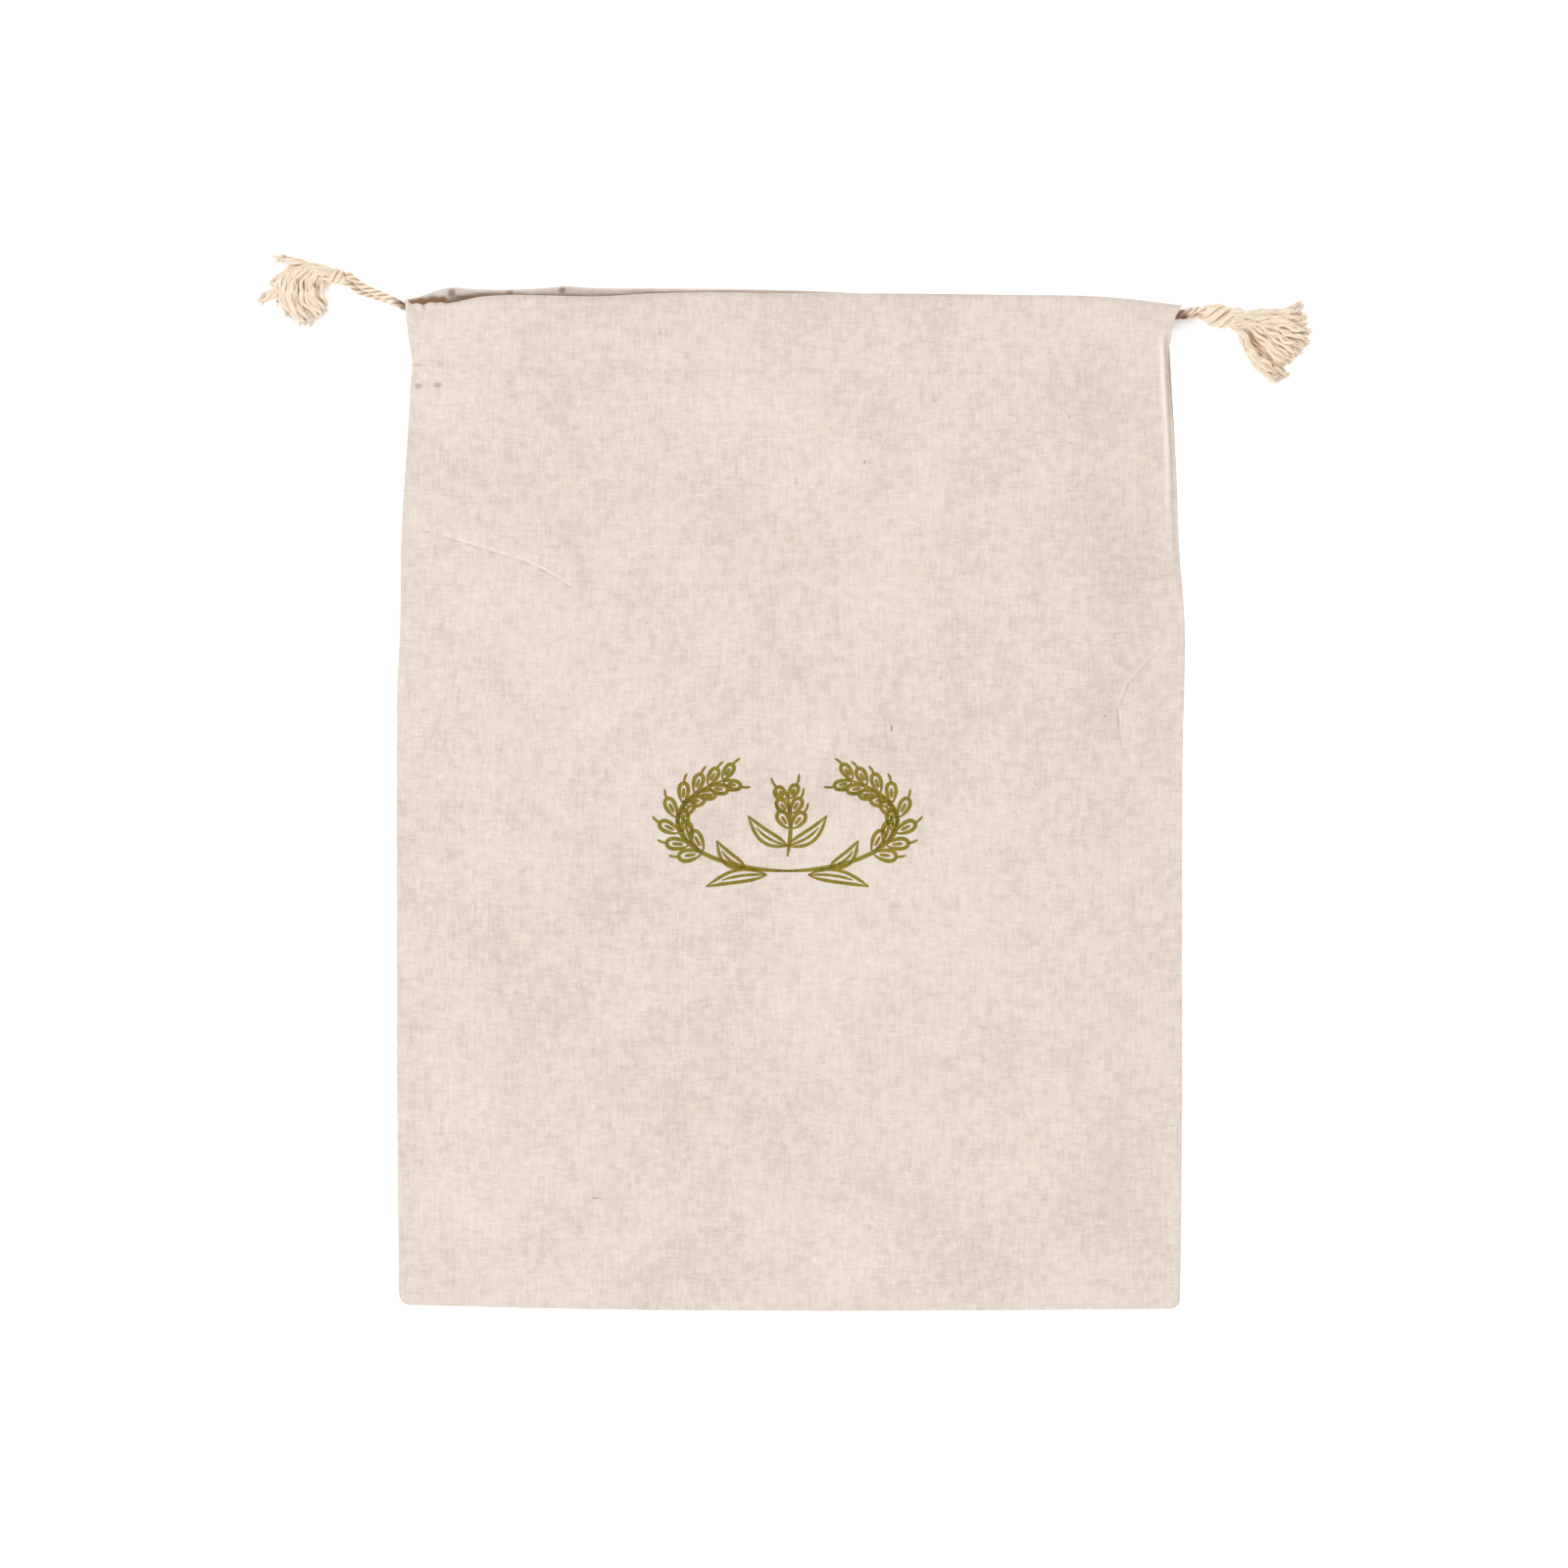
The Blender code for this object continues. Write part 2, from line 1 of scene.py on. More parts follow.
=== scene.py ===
"""Looks of the flat linen drawstring bag: woven cloth, twisted cotton cords, knots, frayed tassels, print.

Sizes are in millimetres until MM turns them into the frame's metres. A place on the bag is given from
its middle line, and its height above the bag's bottom edge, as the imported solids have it.
"""

import math
import random
from collections import namedtuple

import bpy
import numpy as np
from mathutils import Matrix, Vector, noise


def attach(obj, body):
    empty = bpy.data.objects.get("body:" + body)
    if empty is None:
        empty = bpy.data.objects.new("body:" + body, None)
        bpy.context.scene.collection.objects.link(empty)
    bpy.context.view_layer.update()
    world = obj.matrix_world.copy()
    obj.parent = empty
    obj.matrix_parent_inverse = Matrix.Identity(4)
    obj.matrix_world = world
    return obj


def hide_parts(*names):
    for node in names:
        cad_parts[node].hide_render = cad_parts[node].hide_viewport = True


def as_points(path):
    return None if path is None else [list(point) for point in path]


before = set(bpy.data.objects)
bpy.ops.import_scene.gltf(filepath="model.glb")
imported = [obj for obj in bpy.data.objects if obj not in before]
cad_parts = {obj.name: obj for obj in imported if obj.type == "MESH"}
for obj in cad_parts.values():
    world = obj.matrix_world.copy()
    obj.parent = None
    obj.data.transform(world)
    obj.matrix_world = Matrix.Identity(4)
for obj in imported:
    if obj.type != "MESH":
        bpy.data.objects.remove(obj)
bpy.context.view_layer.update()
# noise_vector draws its offsets from the clock unless a seed is set
noise.seed_set(5)

MM = 0.001

# Cloth and casing: the fold's outer radius and the casing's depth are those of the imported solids
CLOTH = 0.75
NOSE = 2.8
SEAM_LEVEL = 2.3
SEAM_FILL = 0.22
CASING_DEPTH = 32.0
SEWN_STRIP = 1.5
FULL_HEIGHT_DEPTH = 6.0
FRONT_FOOT = 2.4
HOLLOW = 6.2
MOUTH_GAP = 4.6
SLIT_GAP = 0.4
RAMP = 42.0
SHORT_REACH = 14.0
BACK_TUCK = 0.25
EDGE_ROUND = 0.62
CORNER_RADII = (4.5, 3.4)

Side = namedtuple("Side", "height left right")
SIDES = (
    Side(0, -150.0, 148.6),
    Side(10, -150.1, 148.8),
    Side(90, -150.8, 149.5),
    Side(140, -150.8, 149.5),
    Side(220, -150.8, 149.9),
    Side(240, -150.7, 150.4),
    Side(254, -149.9, 150.7),
    Side(300, -149.0, 148.0),
    Side(327, -147.2, 147.3),
    Side(353, -145.6, 145.8),
    Side(363, -144.9, 145.2),
    Side(372, -146.0, 144.9),
    Side(380, -146.8, 146.8),
    Side(384, -147.1, 149.2),
)
Top = namedtuple("Top", "x front back")
TOPS = (
    Top(-147.1, 386.2, 386.8),
    Top(-141.6, 385.0, 388.0),
    Top(-136.0, 385.6, 390.2),
    Top(-131.0, 385.1, 391.3),
    Top(-120.6, 387.0, 390.8),
    Top(-94.7, 387.8, 391.2),
    Top(-87.2, 387.6, 391.9),
    Top(-74.4, 387.4, 391.2),
    Top(-53.8, 388.5, 391.1),
    Top(4.7, 388.7, 390.2),
    Top(40.3, 388.5, 388.4),
    Top(76.3, 388.1, 387.5),
    Top(128.8, 386.6, 385.9),
    Top(144.6, 384.8, 384.2),
    Top(149.2, 384.2, 383.6),
)
Bottom = namedtuple("Bottom", "x height")
BOTTOMS = (
    Bottom(-146, 2.2),
    Bottom(-90, 0.8),
    Bottom(-40, 0.2),
    Bottom(20, 0.0),
    Bottom(80, 0.2),
    Bottom(146, 0.8),
)
MIDDLE_X = -0.05
MIDDLE_HEIGHT = 195.95

# Creases of the front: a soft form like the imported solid's, and a finer line along its middle
Fold = namedtuple("Fold", "x1 height1 x2 height2 width rise line")
FOLDS = (
    Fold(-147, 299, -95, 283, 4.5, -0.9, -0.40),
    Fold(-143, 303, -99, 290, 5.0, 0.5, 0.20),
    Fold(-95, 283, -82, 277, 5.0, -0.4, -0.20),
    Fold(-148, 256, -104, 259, 7.0, 0.6, 0.0),
    Fold(142, 253, 124, 233, 4.5, -0.9, -0.40),
    Fold(124, 233, 128, 217, 4.5, -0.7, -0.32),
    Fold(136, 240, 134, 222, 5.5, 0.7, 0.0),
    Fold(128, 217, 105, 222, 4.5, 0.5, 0.12),
    Fold(137, 128, 127, 36, 7.0, -0.7, -0.06),
    Fold(-52, 269, 38, 268, 5.0, -0.3, -0.18),
    Fold(100, 272, 146, 274, 5.0, 0.0, -0.18),
    Fold(-142, 361, -132, 360, 3.0, 0.7, 0.16),
    Fold(-142.5, 354, -142, 353.5, 3.0, -0.4, -0.30),
    Fold(-135.5, 354, -135, 353.5, 3.0, -0.5, -0.30),
)
LINE_WIDTH = 1.1
FOLD_FADE = 6.0
Swell = namedtuple("Swell", "wave_x wave_y phase rise")
SWELLS = (Swell(210, 160, 0.4, 0.35), Swell(-120, 240, 2.1, 0.25), Swell(90, -140, 4.0, 0.2))
Crumple = namedtuple("Crumple", "size_x size_y rise")
CRUMPLES = (Crumple(70, 34, 0.42), Crumple(26, 15, 0.17), Crumple(9, 7, 0.06))
GATHER_REACH = 26.0
GATHER_WAVE = 6.2
GATHER_RISE = 0.8
GATHER_DEPTH = 15.0
SCALLOP_WAVE = 4.6
SCALLOP_DEPTH = 0.9
SCALLOP_REACH = 24.0
RIPPLE_SIZE = 5.0
RIPPLE_RISE = 0.45
RIPPLE_DEPTH = 13.0

# The right seam is rolled a little to the front between these heights, with a ridge beside it
ROLLED_LOW, ROLLED_HIGH = 310.0, 372.0
ROLL_INSET = 1.3
ROLL_RIDGE = 0.5


def mix(start, end, share):
    return start + (end - start) * share


def ease(share):
    """A smooth step from 0 to 1."""
    share = np.clip(share, 0.0, 1.0)
    return share * share * (3 - 2 * share)


def smooth_curve(places, values):
    """A function through the given points, with the mean slope of its neighbours at each."""
    places = np.array(places, float)
    values = np.array(values, float)
    slopes = np.gradient(values, places)

    def curve(place):
        place = np.clip(place, places[0], places[-1])
        i = np.clip(np.searchsorted(places, place, side="right") - 1, 0, len(places) - 2)
        span = places[i + 1] - places[i]
        t = (place - places[i]) / span
        start = values[i] * (1 + 2 * t) * (1 - t) ** 2 + slopes[i] * span * t * (1 - t) ** 2
        end = values[i + 1] * t * t * (3 - 2 * t) + slopes[i + 1] * span * t * t * (t - 1)
        return start + end

    return curve


left_edge = smooth_curve([row.height for row in SIDES], [row.left for row in SIDES])
right_edge = smooth_curve([row.height for row in SIDES], [row.right for row in SIDES])
front_top = smooth_curve([row.x for row in TOPS], [row.front for row in TOPS])
back_top = smooth_curve([row.x for row in TOPS], [row.back for row in TOPS])
bottom_edge = smooth_curve([row.x for row in BOTTOMS], [row.height for row in BOTTOMS])


def placed(x, height, z):
    """Points in metres of the frame."""
    return np.stack([(x - MIDDLE_X) * MM, (height - MIDDLE_HEIGHT) * MM, z * MM], axis=-1)


def wavy(x, y, size_x, size_y, seed):
    """Smooth noise from -1 to 1 at many points."""
    flat = zip(np.ravel(x), np.ravel(y))
    values = [noise.noise(Vector((a / size_x, b / size_y, seed))) for a, b in flat]
    return np.array(values).reshape(np.shape(x))


def casing_depth_at(inset, foot):
    """Height of a casing over both its layers, at a distance below its fold."""
    fall = (inset - FULL_HEIGHT_DEPTH) / (CASING_DEPTH - SEWN_STRIP - FULL_HEIGHT_DEPTH)
    return mix(2 * NOSE, foot, ease(fall))


def creases(x, height):
    """Rise of the creases."""
    total = 0.0
    for fold in FOLDS:
        run_x, run_y = fold.x2 - fold.x1, fold.height2 - fold.height1
        along = ((x - fold.x1) * run_x + (height - fold.height1) * run_y) / (run_x ** 2 + run_y ** 2)
        along = np.clip(along, 0.0, 1.0)
        away = np.hypot(x - fold.x1 - along * run_x, height - fold.height1 - along * run_y)
        total = total + fold.rise * np.exp(-((away / fold.width) ** 2))
        total = total + fold.line * np.exp(-((away / LINE_WIDTH) ** 2))
    return total


def front_level(x, height, inset):
    """Level of the front panel's outer face before its finer relief."""
    from_side = np.minimum(x - left_edge(height), right_edge(height) - x)
    spread = ease(from_side / RAMP)
    depth = casing_depth_at(inset, FRONT_FOOT)
    gap = mix(SLIT_GAP, MOUTH_GAP + 2 * NOSE - depth, spread)
    casing = 2 * depth + gap
    swells = 0.0
    for swell in SWELLS:
        turn = x / swell.wave_x + height / swell.wave_y
        swells = swells + swell.rise * np.sin(2 * math.pi * turn + swell.phase)
    loft = spread * ease((height - bottom_edge(x)) / RAMP)
    body = SEAM_LEVEL + (HOLLOW - 0.3 + swells) * loft
    share = ease(1 - np.maximum(inset - CASING_DEPTH, 0.0) / mix(SHORT_REACH, RAMP, spread))
    fade = ease(from_side / FOLD_FADE)
    return np.maximum(mix(body, casing, share) + creases(x, height) * fade, SEAM_LEVEL)


def fine_relief(x, height, from_edge):
    """Rise of the small uneven crumples of worn, pressed linen."""
    total = 0.0
    for seed, crumple in enumerate(CRUMPLES):
        total = total + crumple.rise * wavy(x, height, crumple.size_x, crumple.size_y, 3.7 * seed)
    return total * ease(from_edge / 16)


def gathers(x, inset):
    """Rise of the gathers beside the left cord, and of the ripples along the top fold."""
    from_left = x - SIDES[-1].left
    reach = ease(1 - from_left / GATHER_REACH) * ease(1 - inset / GATHER_DEPTH)
    rise = GATHER_RISE * reach * (0.5 + 0.5 * np.sin(2 * math.pi * from_left / GATHER_WAVE))
    ripple = wavy(x, inset * 0.12, RIPPLE_SIZE, 1.0, 8.5) + 0.5 * wavy(x, inset * 0.2, 2.2, 1.0, 2.5)
    return rise + RIPPLE_RISE * ripple * ease(1 - inset / RIPPLE_DEPTH) * ease(inset / 1.5)


# Stations round a panel's section: its row up the panel or its inset below the fold, how deep it
# lies below the outer face, from 0 for the outer face to 1 for the casing's innermost, and its share
# of the gathers. The outer layer is 0 to CLOTH deep, the inner layer is at the casing's full height.
Station = namedtuple("Station", "row inset layer angle loose")
ROW_TOP = 355.0


def panel_rows(step):
    """Rows of a panel from the bottom edge up to the casing."""
    edge = [0.0, 0.12, 0.35, 0.7, 1.2, 2.0, 3.2, 4.6]
    count = round((ROW_TOP - edge[-1]) / step)
    return edge + [mix(edge[-1], ROW_TOP, i / count) for i in range(1, count)]


def panel_columns(step):
    """Shares of the width at which a panel has its sections."""
    edge = [0.0, 0.12, 0.35, 0.7, 1.2, 1.9, 2.8, 3.9, 5.2]
    count = round((300 - 2 * edge[-1]) / step)
    middle = [mix(edge[-1], 300 - edge[-1], i / count) for i in range(1, count)]
    return np.array([*edge, *middle, *(300 - place for place in reversed(edge))]) / 300


def casing_insets(step):
    """Distances below the fold of the casing's stations, from its foot up to its nose."""
    count = round((CASING_DEPTH - SEWN_STRIP - 3.6) / step)
    return [mix(CASING_DEPTH - SEWN_STRIP, 3.6, i / count) for i in range(count + 1)]


def section_stations(rows, insets, nose_steps):
    """The closed outline of a panel's section, and the closed outline of its casing's space."""
    angles = [math.pi * i / nose_steps for i in range(nose_steps + 1)]
    outer = [Station(row, None, "outer", None, 1) for row in rows]
    outer.append(Station(None, CASING_DEPTH, "outer", None, 1))
    outer += [Station(None, inset, "outer", None, 1) for inset in insets]
    outer += [Station(None, None, "nose", angle, max(math.cos(angle), 0)) for angle in angles]
    outer += [Station(None, inset, "hem face", None, 0) for inset in reversed(insets)]
    outer.append(Station(None, CASING_DEPTH, "hem face", None, 0))
    outer.append(Station(None, CASING_DEPTH, "inner", None, 0))
    outer += [Station(row, None, "inner", None, 0) for row in reversed(rows)]
    space = [Station(None, inset, "inner", None, 1) for inset in insets]
    space += [Station(None, None, "nose inside", angle, max(math.cos(angle), 0)) for angle in angles]
    space += [Station(None, inset, "hem back", None, 0) for inset in reversed(insets)]
    return outer, space


def station_grid(stations, shares, top, tuck, front):
    """Points of every station on every section, and how far each is from the panel's edge."""
    share = shares[:, None]
    start_x = mix(SIDES[0].left, SIDES[0].right, share)
    fold_x = mix(SIDES[-1].left, SIDES[-1].right, share)
    bottom = bottom_edge(start_x) + tuck
    fold = top(fold_x)
    if front:
        from_left = fold_x - SIDES[-1].left
        scallop = 0.5 - 0.5 * np.cos(2 * math.pi * from_left / SCALLOP_WAVE)
        fold = fold - SCALLOP_DEPTH * scallop * ease(1 - from_left / SCALLOP_REACH) * ease(from_left / 2)
    insets, looses = [], []
    for station in stations:
        if station.row is not None:
            insets.append(fold - mix(bottom, fold - CASING_DEPTH, station.row / ROW_TOP))
        elif station.angle is not None:
            radius = NOSE if station.layer == "nose" else NOSE - CLOTH
            insets.append(np.full_like(fold, NOSE - radius * math.sin(station.angle)))
        else:
            insets.append(np.full_like(fold, station.inset))
        looses.append(station.loose)
    inset = np.concatenate(insets, axis=1)
    loose = np.array(looses)[None, :]
    foot = FRONT_FOOT if front else 2 * CLOTH + 0.15
    casing = casing_depth_at(inset, foot)
    depth = np.zeros_like(inset)
    for j, station in enumerate(stations):
        if station.layer == "inner":
            depth[:, j] = CLOTH
        elif station.layer == "hem face":
            depth[:, j] = casing[:, j]
        elif station.layer == "hem back":
            depth[:, j] = casing[:, j] - CLOTH
        elif station.angle is not None:
            radius = NOSE if station.layer == "nose" else NOSE - CLOTH
            depth[:, j] = NOSE - radius * math.cos(station.angle)
    height = fold - inset
    left = left_edge(height) + tuck
    right = right_edge(height) - tuck
    if front:
        roll = ease((height - ROLLED_LOW) / 60) * ease((ROLLED_HIGH - height) / 8)
        right = right - ROLL_INSET * roll
    for side, radius in enumerate(CORNER_RADII):
        fall = radius - np.clip(height - bottom, 0.0, radius)
        turn = radius - np.sqrt(radius * radius - fall * fall)
        left, right = (left + turn, right) if side == 0 else (left, right - turn)
    x = mix(left, right, share)
    from_side = np.minimum(x - left, right - x)
    from_edge = np.minimum(from_side, height - bottom)
    return x, height, inset, depth, loose, from_side, from_edge


def edge_drop(from_edge):
    """How far the outer face bends towards the seam, near a panel's edge."""
    share = 1 - np.clip(from_edge / EDGE_ROUND, 0.0, 1.0)
    return EDGE_ROUND * (1 - np.sqrt(np.maximum(1 - share * share, 0.0)))


def panel_grid(stations, shares, top, tuck, front):
    """Points in the frame of every station on every section of a panel."""
    x, height, inset, depth, loose, from_side, from_edge = station_grid(stations, shares, top, tuck, front)
    outer = np.array([s.layer in ("outer", "nose") for s in stations])[None, :]
    inner_body = np.array([s.layer == "inner" and s.row is not None for s in stations])[None, :]
    drop = np.where(outer, edge_drop(from_edge), 0.0)
    if not front:
        fill = SEAM_FILL * inner_body * ease(1 - from_edge / 3.0)
        lift = 0.18 * (0.5 + 0.5 * wavy(x, height, 22, 12, 5.5)) * ease(from_edge / 8)
        z = np.maximum(depth + drop * (depth < NOSE) + fill, 0.0)
        z = z + lift * np.where(depth > CLOTH * 0.5, 1, 0)
        return placed(x, height, z)
    level = front_level(x, height, inset)
    from_top = ease(inset / 10)
    relief = fine_relief(x, height, np.minimum(from_edge, 200)) * mix(0.45, 1.0, from_top)
    ridge_x = right_edge(height) - ROLL_INSET - 2.1
    rolled = ease((height - ROLLED_LOW + 40) / 60) * ease((ROLLED_HIGH - height) / 8)
    relief = relief + ROLL_RIDGE * rolled * np.exp(-(((x - ridge_x) / 0.8) ** 2)) * ease(from_side / 1.2)
    level = np.maximum(level + relief, SEAM_LEVEL)
    return placed(x, height, level - depth - drop + loose * gathers(x, inset))


def grid_faces(columns, stations, first, closed=True):
    """Quads between neighbouring sections of a grid, numbered from its first point."""
    i, j = np.meshgrid(np.arange(columns - 1), np.arange(stations if closed else stations - 1), indexing="ij")
    after = (j + 1) % stations
    a = first + i * stations + j
    b = first + i * stations + after
    c = first + (i + 1) * stations + after
    d = first + (i + 1) * stations + j
    return np.stack([a, b, c, d], axis=-1).reshape(-1, 4)


def cap_faces(stations, row_count, first, space_first, space_count, flip):
    """Faces of one cut end of a panel, between its outline and its casing's space."""
    last = stations - 1
    faces = []
    for i in range(row_count):
        faces.append((first + i, first + i + 1, first + last - i - 1, first + last - i))
    foot = row_count + 1
    inside_step, under_step = last - row_count, last - row_count - 1
    faces.append((first + row_count, first + foot, space_first, first + inside_step))
    end = space_first + space_count - 1
    faces.append((first + inside_step, space_first, end))
    faces.append((first + inside_step, end, first + under_step - 1, first + under_step))
    for i in range(space_count - 1):
        faces.append((first + foot + i, first + foot + i + 1, space_first + i + 1, space_first + i))
    return [face[::-1] for face in faces] if flip else faces


def new_piece(name, points, faces, material, smooth_degrees=60):
    """A mesh piece that rides on the bag."""
    mesh = bpy.data.meshes.new(name)
    mesh.from_pydata([tuple(p) for p in points], [], [tuple(int(i) for i in face) for face in faces])
    mesh.update()
    mesh.shade_smooth()
    mesh.set_sharp_from_angle(angle=math.radians(smooth_degrees))
    mesh.materials.append(material)
    piece = bpy.data.objects.new(name, mesh)
    bpy.context.scene.collection.objects.link(piece)
    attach(piece, "root")
    return piece


def painted_shading(x, height, z, front):
    """How much painted shade the cloth gets where it lies deep in the mouth, beside the rolled seam and between
    the left rim's teeth, and how much painted highlight on the seam's ridge and along the rims.
    """
    from_right = right_edge(height) - x
    inset = front_top(x) - height
    if front:
        rolled = ease((height - ROLLED_LOW + 50) / 90) * ease((ROLLED_HIGH + 4 - height) / 8)
        # painted shade: a dark line beside the rolled seam; painted highlight: a pale line on its ridge
        painted_shade = 0.50 * rolled * np.exp(-(((from_right - ROLL_INSET - 0.7) / 0.7) ** 2))
        pale = 0.75 * rolled * np.exp(-(((from_right - ROLL_INSET - 2.2) / 0.8) ** 2))
        # painted highlight on the teeth of the left rim, and painted shade in the gaps between them
        from_left = x - SIDES[-1].left
        tooth = 0.5 + 0.5 * np.cos(2 * math.pi * from_left / SCALLOP_WAVE)
        rim = ease(1 - from_left / (SCALLOP_REACH + 6)) * ease(1.2 - np.abs(inset - 1.5) / 2.0)
        pale = np.maximum(pale, 0.6 * rim * tooth)
        painted_shade = np.maximum(painted_shade, 0.45 * rim * (1 - tooth) * ease((1.8 - inset) / 1.5))
        return painted_shade, pale
    # painted shade on the back's strip under the front's fold in the mouth, and painted highlight along its rim
    above = height - front_top(x)
    reach = mix(1.5, 2.6, ease((-100 - x) / 20))
    depth = mix(0.78, 0.95, ease((-112 - x) / 12))
    painted_shade = depth * ease((reach - above) / 1.0) * ease((above + 6) / 3) * ease((110 - x) / 60)
    pale = 0.45 * ease((1.1 - (back_top(x) - height)) / 0.8)
    inside = (z > CLOTH * 0.4) & (height > 340)
    return painted_shade * inside, pale * inside


def make_panel(name, steps, nose_steps, top, tuck, front, material):
    """A panel of cloth with its casing, one closed skin lofted from side to side."""
    row_step, column_step, casing_step = steps
    rows = panel_rows(row_step)
    insets = casing_insets(casing_step)
    shares = panel_columns(column_step)
    outer, space = section_stations(rows, insets, nose_steps)
    outer_points = panel_grid(outer, shares, top, tuck, front).reshape(-1, 3)
    space_points = panel_grid(space, shares, top, tuck, front).reshape(-1, 3)
    start = len(outer_points)
    faces = list(grid_faces(len(shares), len(outer), 0))
    faces += [face[::-1] for face in grid_faces(len(shares), len(space), start)]
    last = len(shares) - 1
    for column, flip in ((0, False), (last, True)):
        outer_first = column * len(outer)
        space_first = start + column * len(space)
        faces += cap_faces(len(outer), len(rows), outer_first, space_first, len(space), flip)
    points = np.concatenate([outer_points, space_points])
    if front:
        faces = [face[::-1] for face in faces]
    piece = new_piece(name, points, faces, material)
    x, height = points[:, 0] / MM + MIDDLE_X, points[:, 1] / MM + MIDDLE_HEIGHT
    painted_shade, pale = painted_shading(x, height, points[:, 2] / MM, front)
    # attributes of painted shade and painted highlight, for the linen's colour
    for title, values in (("painted_shade", painted_shade), ("pale", pale)):
        layer = piece.data.attributes.new(title, "FLOAT", "POINT")
        layer.data.foreach_set("value", np.clip(values, 0.0, 1.0))
    return piece


class Graph:
    """A material's node tree, built by expressions of sockets and numbers."""

    def __init__(self, name):
        self.material = bpy.data.materials.new(name)
        self.material.use_nodes = True
        self.tree = self.material.node_tree
        self.shader = self.tree.nodes["Principled BSDF"]

    def feed(self, socket, value):
        if isinstance(value, bpy.types.NodeSocket):
            self.tree.links.new(value, socket)
        elif value is not None:
            socket.default_value = value

    def node(self, kind, **settings):
        made = self.tree.nodes.new(kind)
        for key, value in settings.items():
            setattr(made, key, value)
        return made

    def math(self, operation, a, b=None, c=None):
        made = self.node("ShaderNodeMath", operation=operation)
        for socket, value in zip(made.inputs, (a, b, c)):
            self.feed(socket, value)
        return made.outputs[0]

    def coordinates(self, output="Object"):
        return self.node("ShaderNodeTexCoord").outputs[output]

    def split(self, vector):
        made = self.node("ShaderNodeSeparateXYZ")
        self.feed(made.inputs[0], vector)
        return made.outputs

    def join(self, x, y, z=0.0):
        made = self.node("ShaderNodeCombineXYZ")
        for socket, value in zip(made.inputs, (x, y, z)):
            self.feed(socket, value)
        return made.outputs[0]

    def noise(self, vector, scale, detail=2.0, roughness=0.5):
        made = self.node("ShaderNodeTexNoise")
        self.feed(made.inputs["Vector"], vector)
        made.inputs["Scale"].default_value = scale
        made.inputs["Detail"].default_value = detail
        made.inputs["Roughness"].default_value = roughness
        return made.outputs["Fac"]

    def remap(self, value, low, high, to_low, to_high):
        made = self.node("ShaderNodeMapRange")
        for socket, given in zip(made.inputs, (value, low, high, to_low, to_high)):
            self.feed(socket, given)
        return made.outputs[0]

    def blend(self, share, a, b, mode="MIX"):
        made = self.node("ShaderNodeMix", data_type="RGBA", blend_type=mode)
        self.feed(made.inputs["Factor"], share)
        self.feed(made.inputs["A"], a)
        self.feed(made.inputs["B"], b)
        return made.outputs["Result"]

    def bump(self, height, strength, distance):
        made = self.node("ShaderNodeBump")
        self.feed(made.inputs["Height"], height)
        made.inputs["Strength"].default_value = strength
        made.inputs["Distance"].default_value = distance
        self.feed(self.shader.inputs["Normal"], made.outputs[0])


THREAD = 0.00056
WEAVE_COLOURS = {
    "linen": ((0.536, 0.469, 0.419, 1), (0.645, 0.572, 0.515, 1), (0.408, 0.343, 0.292, 1)),
    "ink": ((0.175, 0.135, 0.010, 1), (0.225, 0.175, 0.018, 1), (0.125, 0.095, 0.007, 1)),
}


